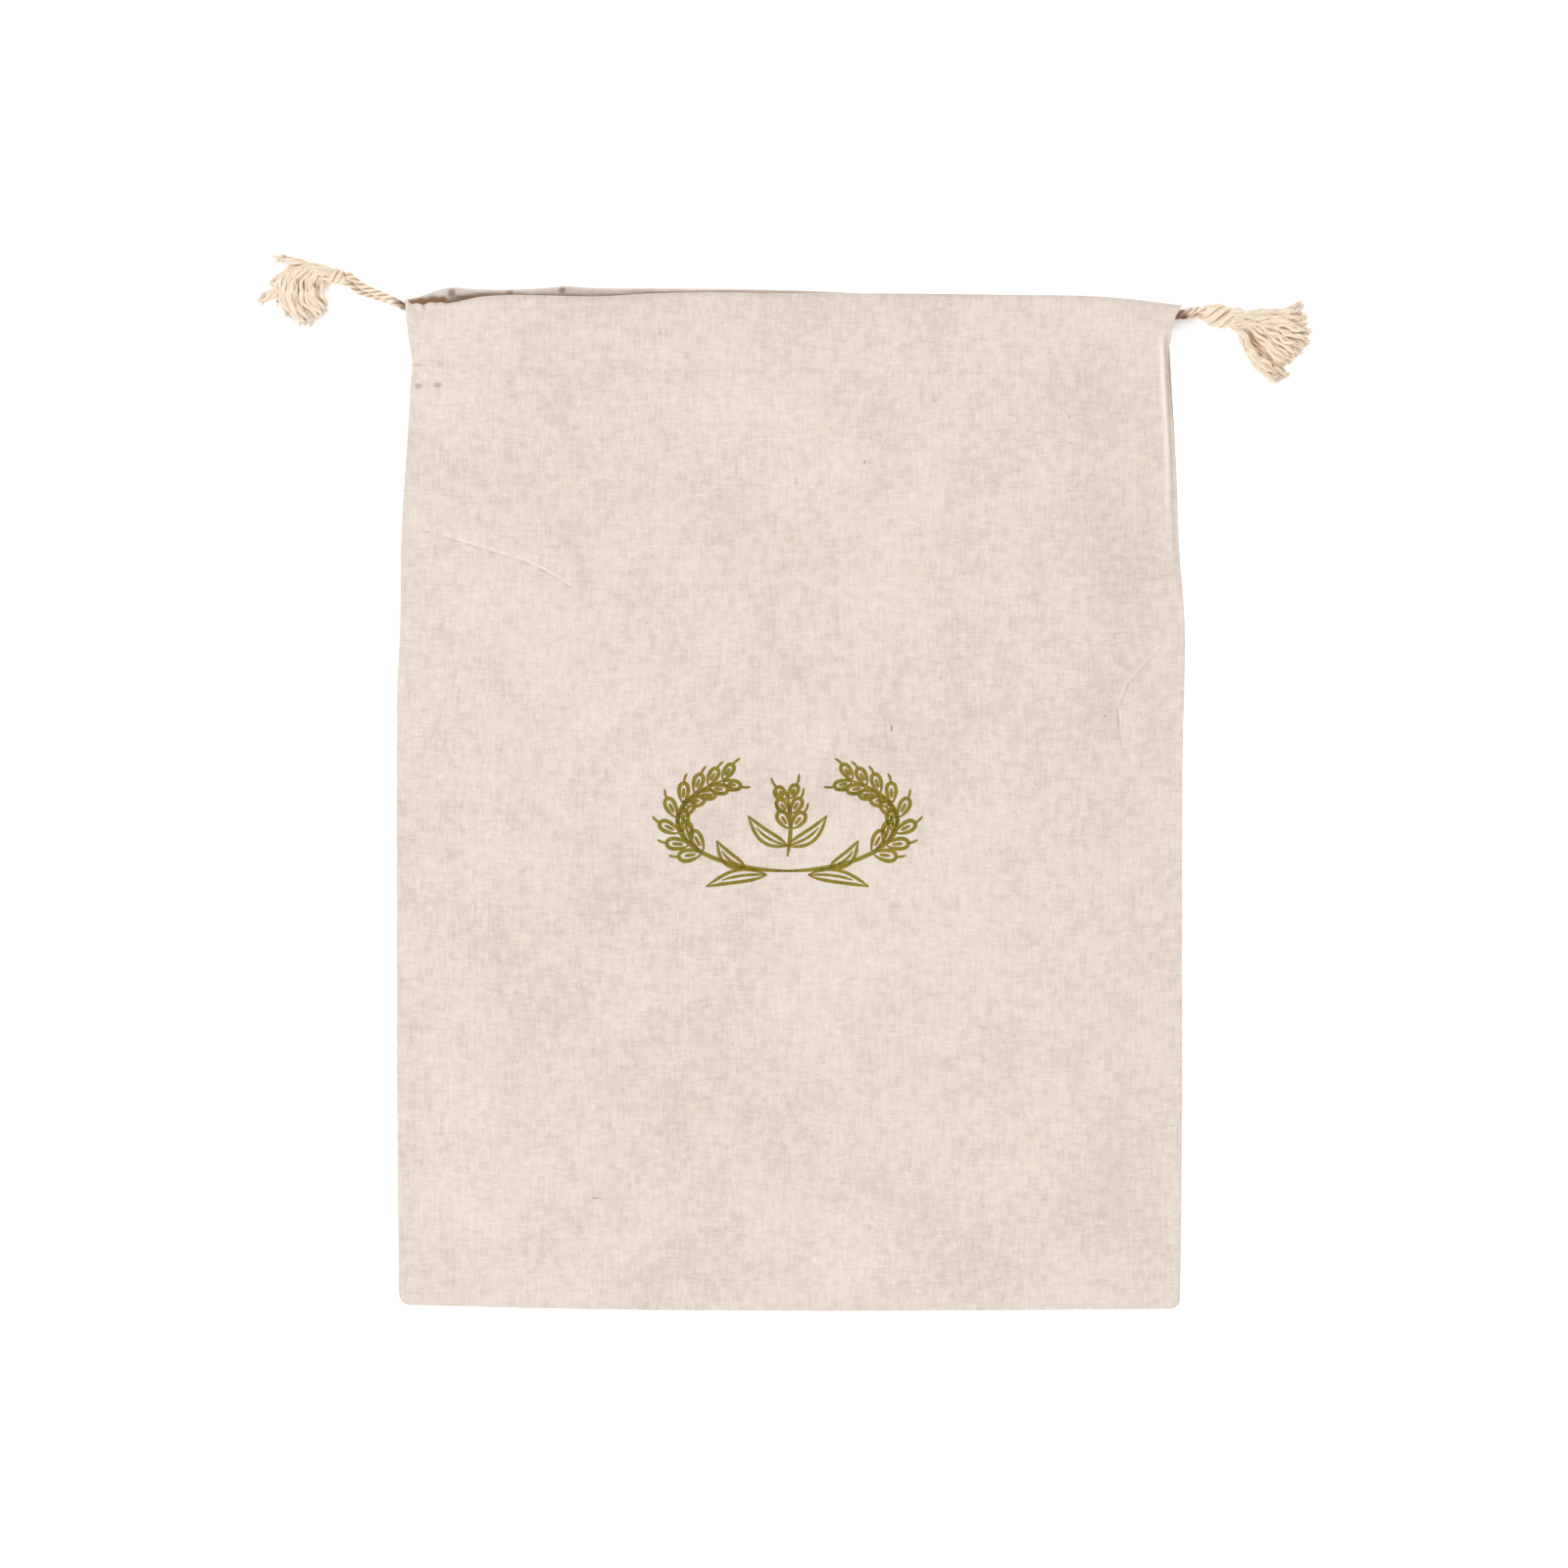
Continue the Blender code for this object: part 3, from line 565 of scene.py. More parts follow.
def weave_material(name, colours, mottle):
    """Plain weave of uneven yarns: each thread has its own shade, with slubs, nubs and stray fibres."""
    g = Graph(name)
    base, pale, dark = colours
    place = g.coordinates()
    x, y, z = g.split(place)
    y = g.math("ADD", y, g.math("MULTIPLY", z, 0.4))
    sway_x = g.math("MULTIPLY", g.math("SUBTRACT", g.noise(place, 60.0), 0.5), 0.0016)
    sway_y = g.math("MULTIPLY", g.math("SUBTRACT", g.noise(place, 47.0), 0.5), 0.0016)
    u = g.math("DIVIDE", g.math("ADD", x, sway_x), THREAD)
    v = g.math("DIVIDE", g.math("ADD", y, sway_y), THREAD)
    warp, weft = g.math("FLOOR", u), g.math("FLOOR", v)
    across = g.math("ABSOLUTE", g.math("SINE", g.math("MULTIPLY", u, math.pi)))
    along = g.math("ABSOLUTE", g.math("SINE", g.math("MULTIPLY", v, math.pi)))
    parity = g.math("FLOORED_MODULO", g.math("ADD", warp, weft), 2.0)
    warp_height = g.math("MULTIPLY", across, g.remap(along, 0, 1, 0.45, 1.0))
    weft_height = g.math("MULTIPLY", along, g.remap(across, 0, 1, 0.45, 1.0))
    is_warp = g.math("GREATER_THAN", parity, 0.5)
    weave = g.math("ADD", g.math("MULTIPLY", is_warp, warp_height),
                   g.math("MULTIPLY", g.math("SUBTRACT", 1.0, is_warp), weft_height))
    warp_shade = g.noise(g.join(g.math("MULTIPLY", warp, 1.37), g.math("MULTIPLY", v, 0.16)), 1.0, 1.0)
    weft_shade = g.noise(g.join(g.math("MULTIPLY", u, 0.20), g.math("MULTIPLY", weft, 1.71), 7.3), 1.0, 1.0)
    thread_shade = g.math("ADD", g.math("MULTIPLY", is_warp, warp_shade),
                          g.math("MULTIPLY", g.math("SUBTRACT", 1.0, is_warp), weft_shade))
    weft_streaks = g.noise(g.join(g.math("MULTIPLY", x, 190), g.math("MULTIPLY", y, 1150), 3.1), 1.0, 2.0, 0.6)
    warp_streaks = g.noise(g.join(g.math("MULTIPLY", x, 860), g.math("MULTIPLY", y, 150), 6.7), 1.0, 2.0, 0.6)
    streaks = g.math("MULTIPLY_ADD", warp_streaks, 0.56, g.math("MULTIPLY", weft_streaks, 0.44))
    clouds = g.noise(place, 42.0, 3.0, 0.55)
    broad = g.noise(place, 11.0, 2.0)
    blotches = g.noise(g.join(g.math("MULTIPLY", x, 210), g.math("MULTIPLY", y, 330), 2.2), 1.0, 2.0, 0.6)
    shade = g.math("MULTIPLY_ADD", g.math("SUBTRACT", thread_shade, 0.5), 0.28 * mottle, 0.5)
    shade = g.math("MULTIPLY_ADD", g.math("SUBTRACT", streaks, 0.5), 1.20 * mottle, shade)
    shade = g.math("MULTIPLY_ADD", g.math("SUBTRACT", blotches, 0.5), 0.55 * mottle, shade)
    shade = g.math("MULTIPLY_ADD", g.math("SUBTRACT", clouds, 0.5), 0.40 * mottle, shade)
    shade = g.math("MULTIPLY_ADD", g.math("SUBTRACT", broad, 0.5), 0.26 * mottle, shade)
    colour = g.blend(g.remap(shade, 0.5, 1.0, 0, 1), base, pale)
    colour = g.blend(g.remap(shade, 0.5, 0.0, 0, 1), colour, dark)
    return g, colour, weave, (x, y, place)


# Marks on the cloth, in the bag's millimetres. Spots are dark flecks of flax, and painted shade in the deep ends
# of puckers and dents;
# a crease is a fine line of painted shade on its lower side and painted highlight on its upper side
Spot = namedtuple("Spot", "x height size_x size_y depth")
SPOTS = (
    Spot(38.3, 222.8, 0.4, 1.4, 0.80),
    Spot(28.0, 324.3, 0.4, 1.0, 0.60),
    Spot(-74.7, 43.5, 1.5, 0.4, 0.60),
    Spot(119.9, 227.6, 0.5, 0.5, 0.60),
    Spot(-142.4, 353.6, 1.7, 1.2, 0.42),
    Spot(-135.0, 354.0, 1.9, 1.2, 0.48),
    Spot(-142.6, 361.6, 2.2, 0.8, 0.26),
    Spot(-133.8, 361.8, 1.6, 1.6, 0.20),
    Spot(-129.6, 389.2, 1.7, 2.2, 0.80),
    Spot(-125.4, 387.2, 4.5, 1.3, 0.70),
    Spot(-107.4, 389.6, 1.6, 1.5, 0.70),
    Spot(-87.4, 390.4, 1.5, 1.8, 0.75),
    Spot(-141.6, 386.6, 1.5, 1.4, 0.80),
    Spot(-136.9, 387.0, 1.5, 1.4, 0.75),
    Spot(-132.8, 386.9, 1.4, 1.2, 0.75),
)
Crease = namedtuple("Crease", "x1 height1 x2 height2 depth")
CREASES = (
    Crease(-140.2, 298.6, -113.9, 290.3, 0.34),
    Crease(-113.9, 290.3, -101.8, 286.5, 0.42),
    Crease(-101.8, 286.5, -94.3, 283.2, 0.42),
    Crease(-94.3, 283.2, -83.7, 276.7, 0.30),
    Crease(141.3, 253.9, 128.6, 240.1, 0.24),
    Crease(128.6, 240.1, 124.9, 231.0, 0.30),
    Crease(124.9, 231.0, 126.4, 215.7, 0.32),
    Crease(118.9, 259.3, 131.7, 259.8, 0.18),
)
SPOT_FLOOR = (0.8, 1.2)
CREASE_WIDTH = 0.75


def spot_share(g, x, y, spot):
    """How much a spot darkens the cloth, in its middle and towards its rim."""
    across = g.math("DIVIDE", g.math("SUBTRACT", x, (spot.x - MIDDLE_X) * MM), spot.size_x * MM)
    along = g.math("DIVIDE", g.math("SUBTRACT", y, (spot.height - MIDDLE_HEIGHT) * MM), spot.size_y * MM)
    away = g.math("ADD", g.math("POWER", across, 2.0), g.math("POWER", along, 2.0))
    return g.math("MULTIPLY", g.remap(away, 1.3, 0.1, 0, 1), spot.depth)


def crease_shares(g, x, y, crease):
    """How much painted shade a crease puts on its lower side, and painted highlight on its upper side."""
    x1, y1 = (crease.x1 - MIDDLE_X) * MM, (crease.height1 - MIDDLE_HEIGHT) * MM
    run_x, run_y = (crease.x2 - crease.x1) * MM, (crease.height2 - crease.height1) * MM
    length = math.hypot(run_x, run_y)
    flip = 1 if run_x > 0 else -1
    off_x, off_y = g.math("SUBTRACT", x, x1), g.math("SUBTRACT", y, y1)
    along = g.math("ADD", g.math("MULTIPLY", off_x, run_x / length), g.math("MULTIPLY", off_y, run_y / length))
    above = g.math("ADD", g.math("MULTIPLY", off_x, -flip * run_y / length),
                   g.math("MULTIPLY", off_y, flip * run_x / length))
    past = g.math("MAXIMUM", g.math("MULTIPLY", along, -1.0), g.math("SUBTRACT", along, length))
    inside = g.remap(past, 0.0012, -0.0004, 0, crease.depth)
    wide = CREASE_WIDTH * MM
    low = g.math("ABSOLUTE", g.math("ADD", above, 0.45 * wide))
    high = g.math("ABSOLUTE", g.math("SUBTRACT", above, 0.75 * wide))
    return (g.math("MULTIPLY", g.remap(low, wide, 0.1 * wide, 0, 1), inside),
            g.math("MULTIPLY", g.remap(high, 1.2 * wide, 0.1 * wide, 0, 1), inside))


def linen_material():
    g, colour, weave, (x, y, place) = weave_material("linen_cloth", WEAVE_COLOURS["linen"], 1.0)
    slubs = g.noise(g.join(g.math("MULTIPLY", x, 1500), g.math("MULTIPLY", y, 210), 1.9), 1.0, 1.0)
    slub = g.remap(slubs, 0.70, 0.80, 0, 1)
    cross = g.noise(g.join(g.math("MULTIPLY", x, 190), g.math("MULTIPLY", y, 1500), 5.2), 1.0, 1.0)
    cross_slub = g.remap(cross, 0.71, 0.80, 0, 1)
    colour = g.blend(g.math("MULTIPLY", slub, 0.55), colour, (0.75, 0.68, 0.61, 1))
    colour = g.blend(g.math("MULTIPLY", cross_slub, 0.45), colour, (0.74, 0.67, 0.60, 1))
    specks = g.noise(g.join(g.math("MULTIPLY", x, 900), g.math("MULTIPLY", y, 520), 9.4), 1.0, 1.0)
    colour = g.blend(g.math("MULTIPLY", g.remap(specks, 0.735, 0.80, 0, 1), 0.55), colour, (0.34, 0.29, 0.25, 1))
    warm = g.noise(g.join(g.math("MULTIPLY", x, 330), g.math("MULTIPLY", y, 230), 12.4), 1.0, 1.0)
    colour = g.blend(g.math("MULTIPLY", g.remap(warm, 0.70, 0.82, 0, 1), 0.40), colour, (0.70, 0.51, 0.37, 1))
    cool = g.noise(g.join(g.math("MULTIPLY", x, 170), g.math("MULTIPLY", y, 150), 17.9), 1.0, 1.0)
    colour = g.blend(g.math("MULTIPLY", g.remap(cool, 0.62, 0.80, 0, 1), 0.35), colour, (0.60, 0.55, 0.52, 1))
    # marks are placed by the bag's own coordinates, not by the weave's, which climb over the edges
    x, y, level = g.split(place)
    upper = g.remap(level, SPOT_FLOOR[0] * MM, SPOT_FLOOR[1] * MM, 0, 1)
    dark = 0.0
    for spot in SPOTS:
        dark = g.math("MAXIMUM", dark, spot_share(g, x, y, spot))
    # patches that break up the creases' painted shade and painted highlight, on upper faces only
    worn = g.math("MULTIPLY", upper, g.remap(g.noise(place, 330.0, 2.0), 0.36, 0.58, 0.25, 1.0))
    # spots: dark flax flecks, and painted shade in the hollows of puckers and dents
    colour = g.blend(g.math("MULTIPLY", dark, upper), colour, (0.17, 0.115, 0.085, 1))
    # creases: painted shade on the lower side, painted highlight on the upper side
    for crease in CREASES:
        low, high = crease_shares(g, x, y, crease)
        colour = g.blend(g.math("MULTIPLY", low, worn), colour, (0.30, 0.235, 0.175, 1))
        colour = g.blend(g.math("MULTIPLY", high, worn), colour, (0.72, 0.65, 0.59, 1))
    # painted shade from the panels' attribute, towards a warm brown
    painted_shade = g.node("ShaderNodeAttribute", attribute_name="painted_shade").outputs["Fac"]
    colour = g.blend(painted_shade, colour, (0.24, 0.150, 0.090, 1))
    # painted highlight from the panels' pale attribute
    pale = g.node("ShaderNodeAttribute", attribute_name="pale").outputs["Fac"]
    colour = g.blend(pale, colour, (0.74, 0.66, 0.60, 1))
    fibres = g.noise(g.join(g.math("MULTIPLY", x, 5200), g.math("MULTIPLY", y, 3900)), 1.0, 2.0)
    height = g.math("MULTIPLY_ADD", slub, 0.8, weave)
    height = g.math("MULTIPLY_ADD", cross_slub, 0.7, height)
    height = g.math("MULTIPLY_ADD", fibres, 0.35, height)
    g.feed(g.shader.inputs["Base Color"], colour)
    g.shader.inputs["Roughness"].default_value = 0.92
    g.shader.inputs["Specular IOR Level"].default_value = 0.2
    g.shader.inputs["Sheen Weight"].default_value = 0.12
    g.shader.inputs["Sheen Roughness"].default_value = 0.5
    g.bump(height, 0.34, 0.00016)
    return g.material


def ink_material():
    g, colour, weave, (x, y, place) = weave_material("printed_ink", WEAVE_COLOURS["ink"], 1.2)
    worn = g.noise(g.join(g.math("MULTIPLY", x, 1100), g.math("MULTIPLY", y, 800), 4.4), 1.0, 2.0)
    colour = g.blend(g.math("MULTIPLY", g.remap(worn, 0.62, 0.78, 0, 1), 0.5), colour, (0.42, 0.35, 0.14, 1))
    g.feed(g.shader.inputs["Base Color"], colour)
    g.shader.inputs["Roughness"].default_value = 0.85
    g.shader.inputs["Specular IOR Level"].default_value = 0.25
    g.bump(weave, 0.4, 0.00014)
    return g.material


# The cords get painted shadow where they leave the ends of the casings: place in metres, and reach
EXIT_SHADOWS = ((-0.1474, 0.1902, 0.0050), (0.1490, 0.1842, 0.0036))


def cotton_material():
    """Undyed cotton yarn: fibres run along it, wound at a slant, and its shade is uneven; its grooves and the
    yarns deep in a bundle get painted shade.
    """
    g = Graph("cotton_yarn")
    run, round_, _ = g.split(g.coordinates("UV"))
    turn = g.math("MULTIPLY", g.math("MULTIPLY_ADD", run, 0.14, round_), 2 * math.pi)
    around = g.join(g.math("COSINE", turn), g.math("SINE", turn), g.math("MULTIPLY", run, 0.09))
    fibres = g.noise(around, 6.0, 3.0, 0.65)
    tufts = g.noise(around, 2.0, 1.0)
    place = g.coordinates()
    clouds = g.noise(place, 260.0, 2.0)
    shade = g.math("MULTIPLY_ADD", g.math("SUBTRACT", fibres, 0.5), 0.55, 0.5)
    shade = g.math("MULTIPLY_ADD", g.math("SUBTRACT", tufts, 0.5), 0.35, shade)
    shade = g.math("MULTIPLY_ADD", g.math("SUBTRACT", clouds, 0.5), 0.6, shade)
    colour = g.blend(g.remap(shade, 0.25, 0.75, 0, 1), (0.640, 0.500, 0.375, 1), (0.785, 0.672, 0.550, 1))
    # painted shade in the grooves and deep in bundles, by the open attribute; wider and warmer where warm is set
    facing = g.node("ShaderNodeAttribute", attribute_name="open").outputs["Fac"]
    warm = g.node("ShaderNodeAttribute", attribute_name="warm").outputs["Fac"]
    groove_start = g.remap(warm, 0, 1, 0.74, 0.40)
    groove_bottom = g.remap(warm, 0, 1, 0.10, -0.75)
    groove = g.math("MULTIPLY", g.remap(facing, groove_start, groove_bottom, 0, 1), 0.85)
    painted_groove_shade = g.blend(warm, (0.34, 0.205, 0.125, 1), (0.66, 0.40, 0.21, 1))
    colour = g.blend(g.math("MULTIPLY", groove, g.remap(warm, 0, 1, 0.72, 0.86)), colour, painted_groove_shade)
    x, y, _ = g.split(place)
    # painted shadow on the cords beside the casings' ends
    for exit_x, exit_y, reach in EXIT_SHADOWS:
        away = g.math("SQRT", g.math("ADD", g.math("POWER", g.math("SUBTRACT", x, exit_x), 2.0),
                                     g.math("POWER", g.math("SUBTRACT", y, exit_y), 2.0)))
        colour = g.blend(g.math("MULTIPLY", g.remap(away, reach, reach * 0.4, 0, 1), 0.85), colour,
                         (0.16, 0.085, 0.045, 1))
    g.feed(g.shader.inputs["Base Color"], colour)
    g.shader.inputs["Roughness"].default_value = 0.9
    g.shader.inputs["Specular IOR Level"].default_value = 0.2
    g.shader.inputs["Sheen Weight"].default_value = 0.2
    g.shader.inputs["Subsurface Weight"].default_value = 0.18
    g.shader.inputs["Subsurface Radius"].default_value = (0.0016, 0.0009, 0.0005)
    g.shader.inputs["Subsurface Scale"].default_value = 1.0
    g.bump(g.math("MULTIPLY_ADD", tufts, 0.8, fibres), 0.6, 0.00018)
    return g.material


def thread_material():
    g = Graph("sewing_thread")
    place = g.coordinates()
    twist = g.noise(place, 2600.0, 1.0)
    colour = g.blend(g.remap(twist, 0.3, 0.7, 0, 1), (0.52, 0.452, 0.396, 1), (0.62, 0.550, 0.490, 1))
    g.feed(g.shader.inputs["Base Color"], colour)
    g.shader.inputs["Roughness"].default_value = 0.8
    g.bump(twist, 0.4, 0.0001)
    return g.material


# Yarns: tubes along a path, joined in one mesh with their own length as the first UV
class Yarns:
    """Collects tubes for one piece."""

    def __init__(self):
        self.points, self.faces, self.uvs, self.opens, self.warms = [], [], [], [], []

    def tube(self, path, radii, sides=7, centre=None, depth=0.0, warm=0.0):
        """A closed tube along a path in millimetres, as thick at each point as given.

        Each point keeps how far it faces out of the bundle that winds round the centre, from -1 to 1,
        less the tube's depth in its bundle, which sets how much painted shade it gets in the grooves, and whether
        that painted shade is warm in colour.
        """
        path = np.array(path, float)
        radii = np.broadcast_to(np.asarray(radii, float), (len(path),))
        path[:, 2] = np.maximum(path[:, 2], radii)
        runs = np.gradient(path, axis=0)
        runs /= np.maximum(np.linalg.norm(runs, axis=1, keepdims=True), 1e-9)
        side = np.cross(runs, (0.0, 0.0, 1.0))
        length = np.linalg.norm(side, axis=1, keepdims=True)
        side = np.where(length > 0.15, side / np.maximum(length, 1e-9), 0.0)
        for i in range(len(side)):
            if not side[i].any():
                side[i] = side[i - 1] if i and side[i - 1].any() else (1.0, 0.0, 0.0)
            side[i] -= runs[i] * side[i].dot(runs[i])
            side[i] /= np.linalg.norm(side[i])
            if i and side[i].dot(side[i - 1]) < 0:
                side[i] = -side[i]
        up = np.cross(side, runs)
        angles = 2 * math.pi * np.arange(sides) / sides
        ring = (side[:, None] * np.cos(angles)[None, :, None]
                + up[:, None] * np.sin(angles)[None, :, None])
        points = path[:, None] + ring * radii[:, None, None]
        outward = np.tile((0.0, 0.0, 1.0), (len(path), 1)) if centre is None else path - centre
        outward = outward / np.maximum(np.linalg.norm(outward, axis=1, keepdims=True), 1e-9)
        self.opens += list((ring * outward[:, None]).sum(axis=2).ravel() - depth)
        self.warms += [warm] * (len(path) * sides)
        first = len(self.points)
        self.points += list(points.reshape(-1, 3) * MM)
        travelled = np.concatenate([[0], np.cumsum(np.linalg.norm(np.diff(path, axis=0), axis=1))])
        for i in range(len(path) - 1):
            for j in range(sides):
                k = (j + 1) % sides
                a, b = first + i * sides + j, first + i * sides + k
                self.faces.append((a, b, b + sides, a + sides))
                here, there = travelled[i], travelled[i + 1]
                low, high = j / sides, (j + 1) / sides
                self.uvs += [(here, low), (here, high), (there, high), (there, low)]
        ends = (range(sides - 1, -1, -1), range(sides))
        for base, order in zip((first, first + (len(path) - 1) * sides), ends):
            self.faces.append(tuple(base + j for j in order))
            self.uvs += [(0.0, j / sides) for j in order]

    def piece(self, name, material):
        made = new_piece(name, self.points, self.faces, material, 80)
        layer = made.data.uv_layers.new(name="yarn")
        layer.data.foreach_set("uv", np.array(self.uvs, float).ravel())
        for title, values in (("open", self.opens), ("warm", self.warms)):
            made.data.attributes.new(title, "FLOAT", "POINT").data.foreach_set("value", np.array(values, float))
        return made


def resampled(path, step):
    """Points about a step apart along a path, on a smooth curve through it."""
    path = np.asarray(path, float)
    run = np.concatenate([[0], np.cumsum(np.linalg.norm(np.diff(path, axis=0), axis=1))])
    count = max(int(round(run[-1] / step)), 2)
    places = np.linspace(0, run[-1], count + 1)
    return np.stack([smooth_curve(run, path[:, axis])(places) for axis in range(3)], axis=1)


def twisted(path, plies, helix_radius, turn, phase=0.0, wander=0.0, seed=0.0):
    """Paths of a cord's plies, wound round its middle line."""
    runs = np.gradient(path, axis=0)
    runs /= np.linalg.norm(runs, axis=1, keepdims=True)
    side = np.cross(runs, (0.0, 0.0, 1.0))
    side /= np.maximum(np.linalg.norm(side, axis=1, keepdims=True), 1e-9)
    up = np.cross(side, runs)
    travelled = np.concatenate([[0], np.cumsum(np.linalg.norm(np.diff(path, axis=0), axis=1))])
    for ply in range(plies):
        angle = 2 * math.pi * (travelled / turn + ply / plies) + phase
        radius = helix_radius + wander * np.array(
            [noise.noise(Vector((t * 0.35, ply * 5.1, seed))) for t in travelled])
        yield path + side * (np.cos(angle) * radius)[:, None] + up * (np.sin(angle) * radius)[:, None]


# Drawcords, in the bag's places: from knot to knot, through a casing
CORD_INSET = NOSE + 0.35
EXIT_MARGIN = 1.0
Knot = namedtuple("Knot", "x height heading length width thickness")
LEFT_KNOT = Knot(-174.1, 395.5, 166, 7.8, 6.8, 6.2)
RIGHT_KNOT = Knot(163.6, 380.4, -10, 12.4, 9.8, 8.4)
LEFT_STOPS = (
    ((-150.5, 385.4, 8.7), (-155.5, 387.9, 7.4), (-161.0, 390.4, 5.6), (-165.5, 393.0, 4.6)),
    ((-150.5, 385.2, 2.8), (-155.5, 386.9, 2.4), (-161.0, 388.5, 1.9), (-165.5, 390.0, 1.9)),
)
RIGHT_STOPS = ((151.3, 381.9, 8.5), (151.3, 380.7, 2.9))
LEFT_SEATS = ((-1.4, 0.8), (1.4, -0.8))
RIGHT_SEATS = ((0.9, 1.4), (-0.9, -1.4))


def knot_point(knot, along, side, up):
    """A point of a knot: along its heading from its middle, to its left, and from its mid height."""
    heading = math.radians(knot.heading)
    x = knot.x + along * math.cos(heading) - side * math.sin(heading)
    height = knot.height + along * math.sin(heading) + side * math.cos(heading)
    return (x, height, knot.thickness / 2 + up)


def cord_path(which, top, level):
    """Middle line of a drawcord in millimetres of the frame, and where it leaves its casing."""
    first, last = SIDES[-1].left + EXIT_MARGIN, SIDES[-1].right - EXIT_MARGIN
    places = np.linspace(first, last, 50)
    held = [(x, float(top(x)) - CORD_INSET, float(level(x))) for x in places]
    left_seat, right_seat = LEFT_SEATS[which], RIGHT_SEATS[which]
    left_back, right_back = LEFT_KNOT.length / 2, RIGHT_KNOT.length / 2
    left = [knot_point(LEFT_KNOT, -left_back - short, *left_seat) for short in (-0.6, 1.8)]
    right = [knot_point(RIGHT_KNOT, -right_back - short, *right_seat) for short in (1.8, -0.6)]
    stops = [*left, *reversed(LEFT_STOPS[which]), *held, RIGHT_STOPS[which], *right]
    points = placed(*np.array(stops, float).T) / MM
    return resampled(points, 1.0), placed(*np.array(held[0])) / MM


def make_cord(name, which, top, level, material):
    """A drawcord of three plies."""
    path, leaves = cord_path(which, top, level)
    yarns = Yarns()
    fine = resampled(path, 0.7)
    for ply in twisted(fine, 3, 0.74, 10.0, phase=1.1 * which, wander=0.12, seed=which * 9.7):
        lumps = [0.68 * (1 + 0.09 * noise.noise(Vector((i * 0.21, which, ply[0][2])))) for i in range(len(ply))]
        yarns.tube(ply, lumps, sides=9, centre=fine)
    piece = yarns.piece(name, material)
    length = float(np.linalg.norm(np.diff(path, axis=0), axis=1).sum()) * MM
    exit_point = leaves * MM
    return piece, path * MM, length, exit_point


# Knots and tassels: a tassel's groups of locks, and each lock's course from where it leaves the knot
LEFT_LOCKS = (
    (
        ((-6.5, 3.4), (-15.0, 1.6), (-19.0, -6.0), (-16.6, -14.0)),
        ((-6.5, 3.0), (-14.0, -0.5), (-16.6, -8.5), (-13.0, -17.2)),
        ((-6.3, 2.4), (-12.5, -2.0), (-14.0, -10.5), (-9.0, -19.2)),
        ((-5.6, 1.8), (-10.5, -2.6), (-11.6, -10.5), (-5.6, -19.4)),
        ((-4.2, 1.2), (-8.0, -2.4), (-8.6, -9.5), (-3.0, -17.8)),
        ((-3.0, 0.4), (-5.4, -3.0), (-5.4, -8.5), (-0.8, -15.0)),
        ((-1.2, -1.0), (-1.4, -4.2), (-1.6, -8.0), (0.2, -11.6)),
    ),
    (
        ((-5.5, 3.2), (-10.5, 4.6), (-15.0, 5.2), (-20.4, 6.2)),
        ((-5.5, 3.4), (-10.5, 5.0), (-14.0, 5.8), (-17.0, 7.0)),
    ),
    (
        ((-6.5, 3.0), (-12.5, 1.6), (-17.5, -0.6), (-22.0, -3.2)),
        ((-6.5, 3.0), (-13.0, 1.0), (-17.8, -1.8), (-21.0, -4.2)),
    ),
    (
        ((-7.0, 2.0), (-14.0, -2.4), (-20.0, -6.2), (-26.4, -8.0)),
        ((-7.0, 2.0), (-14.5, -3.6), (-20.0, -8.0), (-25.4, -10.8)),
    ),
)
RIGHT_LOCKS = (
    (
        ((1.2, -4.6), (4.4, -12.6), (9.4, -19.4), (15.8, -24.2)),
        ((2.0, -4.6), (5.6, -12.6), (11.0, -19.0), (18.4, -23.4)),
        ((2.8, -4.4), (7.3, -11.9), (13.8, -17.6), (20.8, -21.0)),
    ),
    (
        ((4.2, -3.6), (9.9, -9.3), (15.0, -14.2), (19.6, -17.4)),
        ((5.0, -2.8), (11.8, -7.2), (17.2, -11.8), (23.0, -15.6)),
        ((5.4, -2.0), (12.6, -5.2), (19.0, -9.2), (26.6, -12.8)),
        ((5.6, -1.2), (13.0, -3.2), (20.4, -6.0), (28.4, -8.8)),
        ((5.6, -0.2), (13.2, -1.2), (20.8, -2.8), (28.8, -4.4)),
        ((5.2, 0.8), (12.6, 1.0), (20.4, 0.2), (28.4, 0.2)),
        ((4.6, 1.8), (11.0, 2.4), (18.6, 2.0), (24.6, 3.6)),
        ((4.4, 2.0), (10.6, 2.9), (18.2, 2.8), (28.0, 7.2)),
    ),
    (
        ((3.0, -4.0), (7.8, -11.0), (13.2, -16.2), (18.4, -19.6)),
        ((4.0, -3.6), (10.0, -9.6), (14.6, -14.8), (18.6, -18.2)),
    ),
)


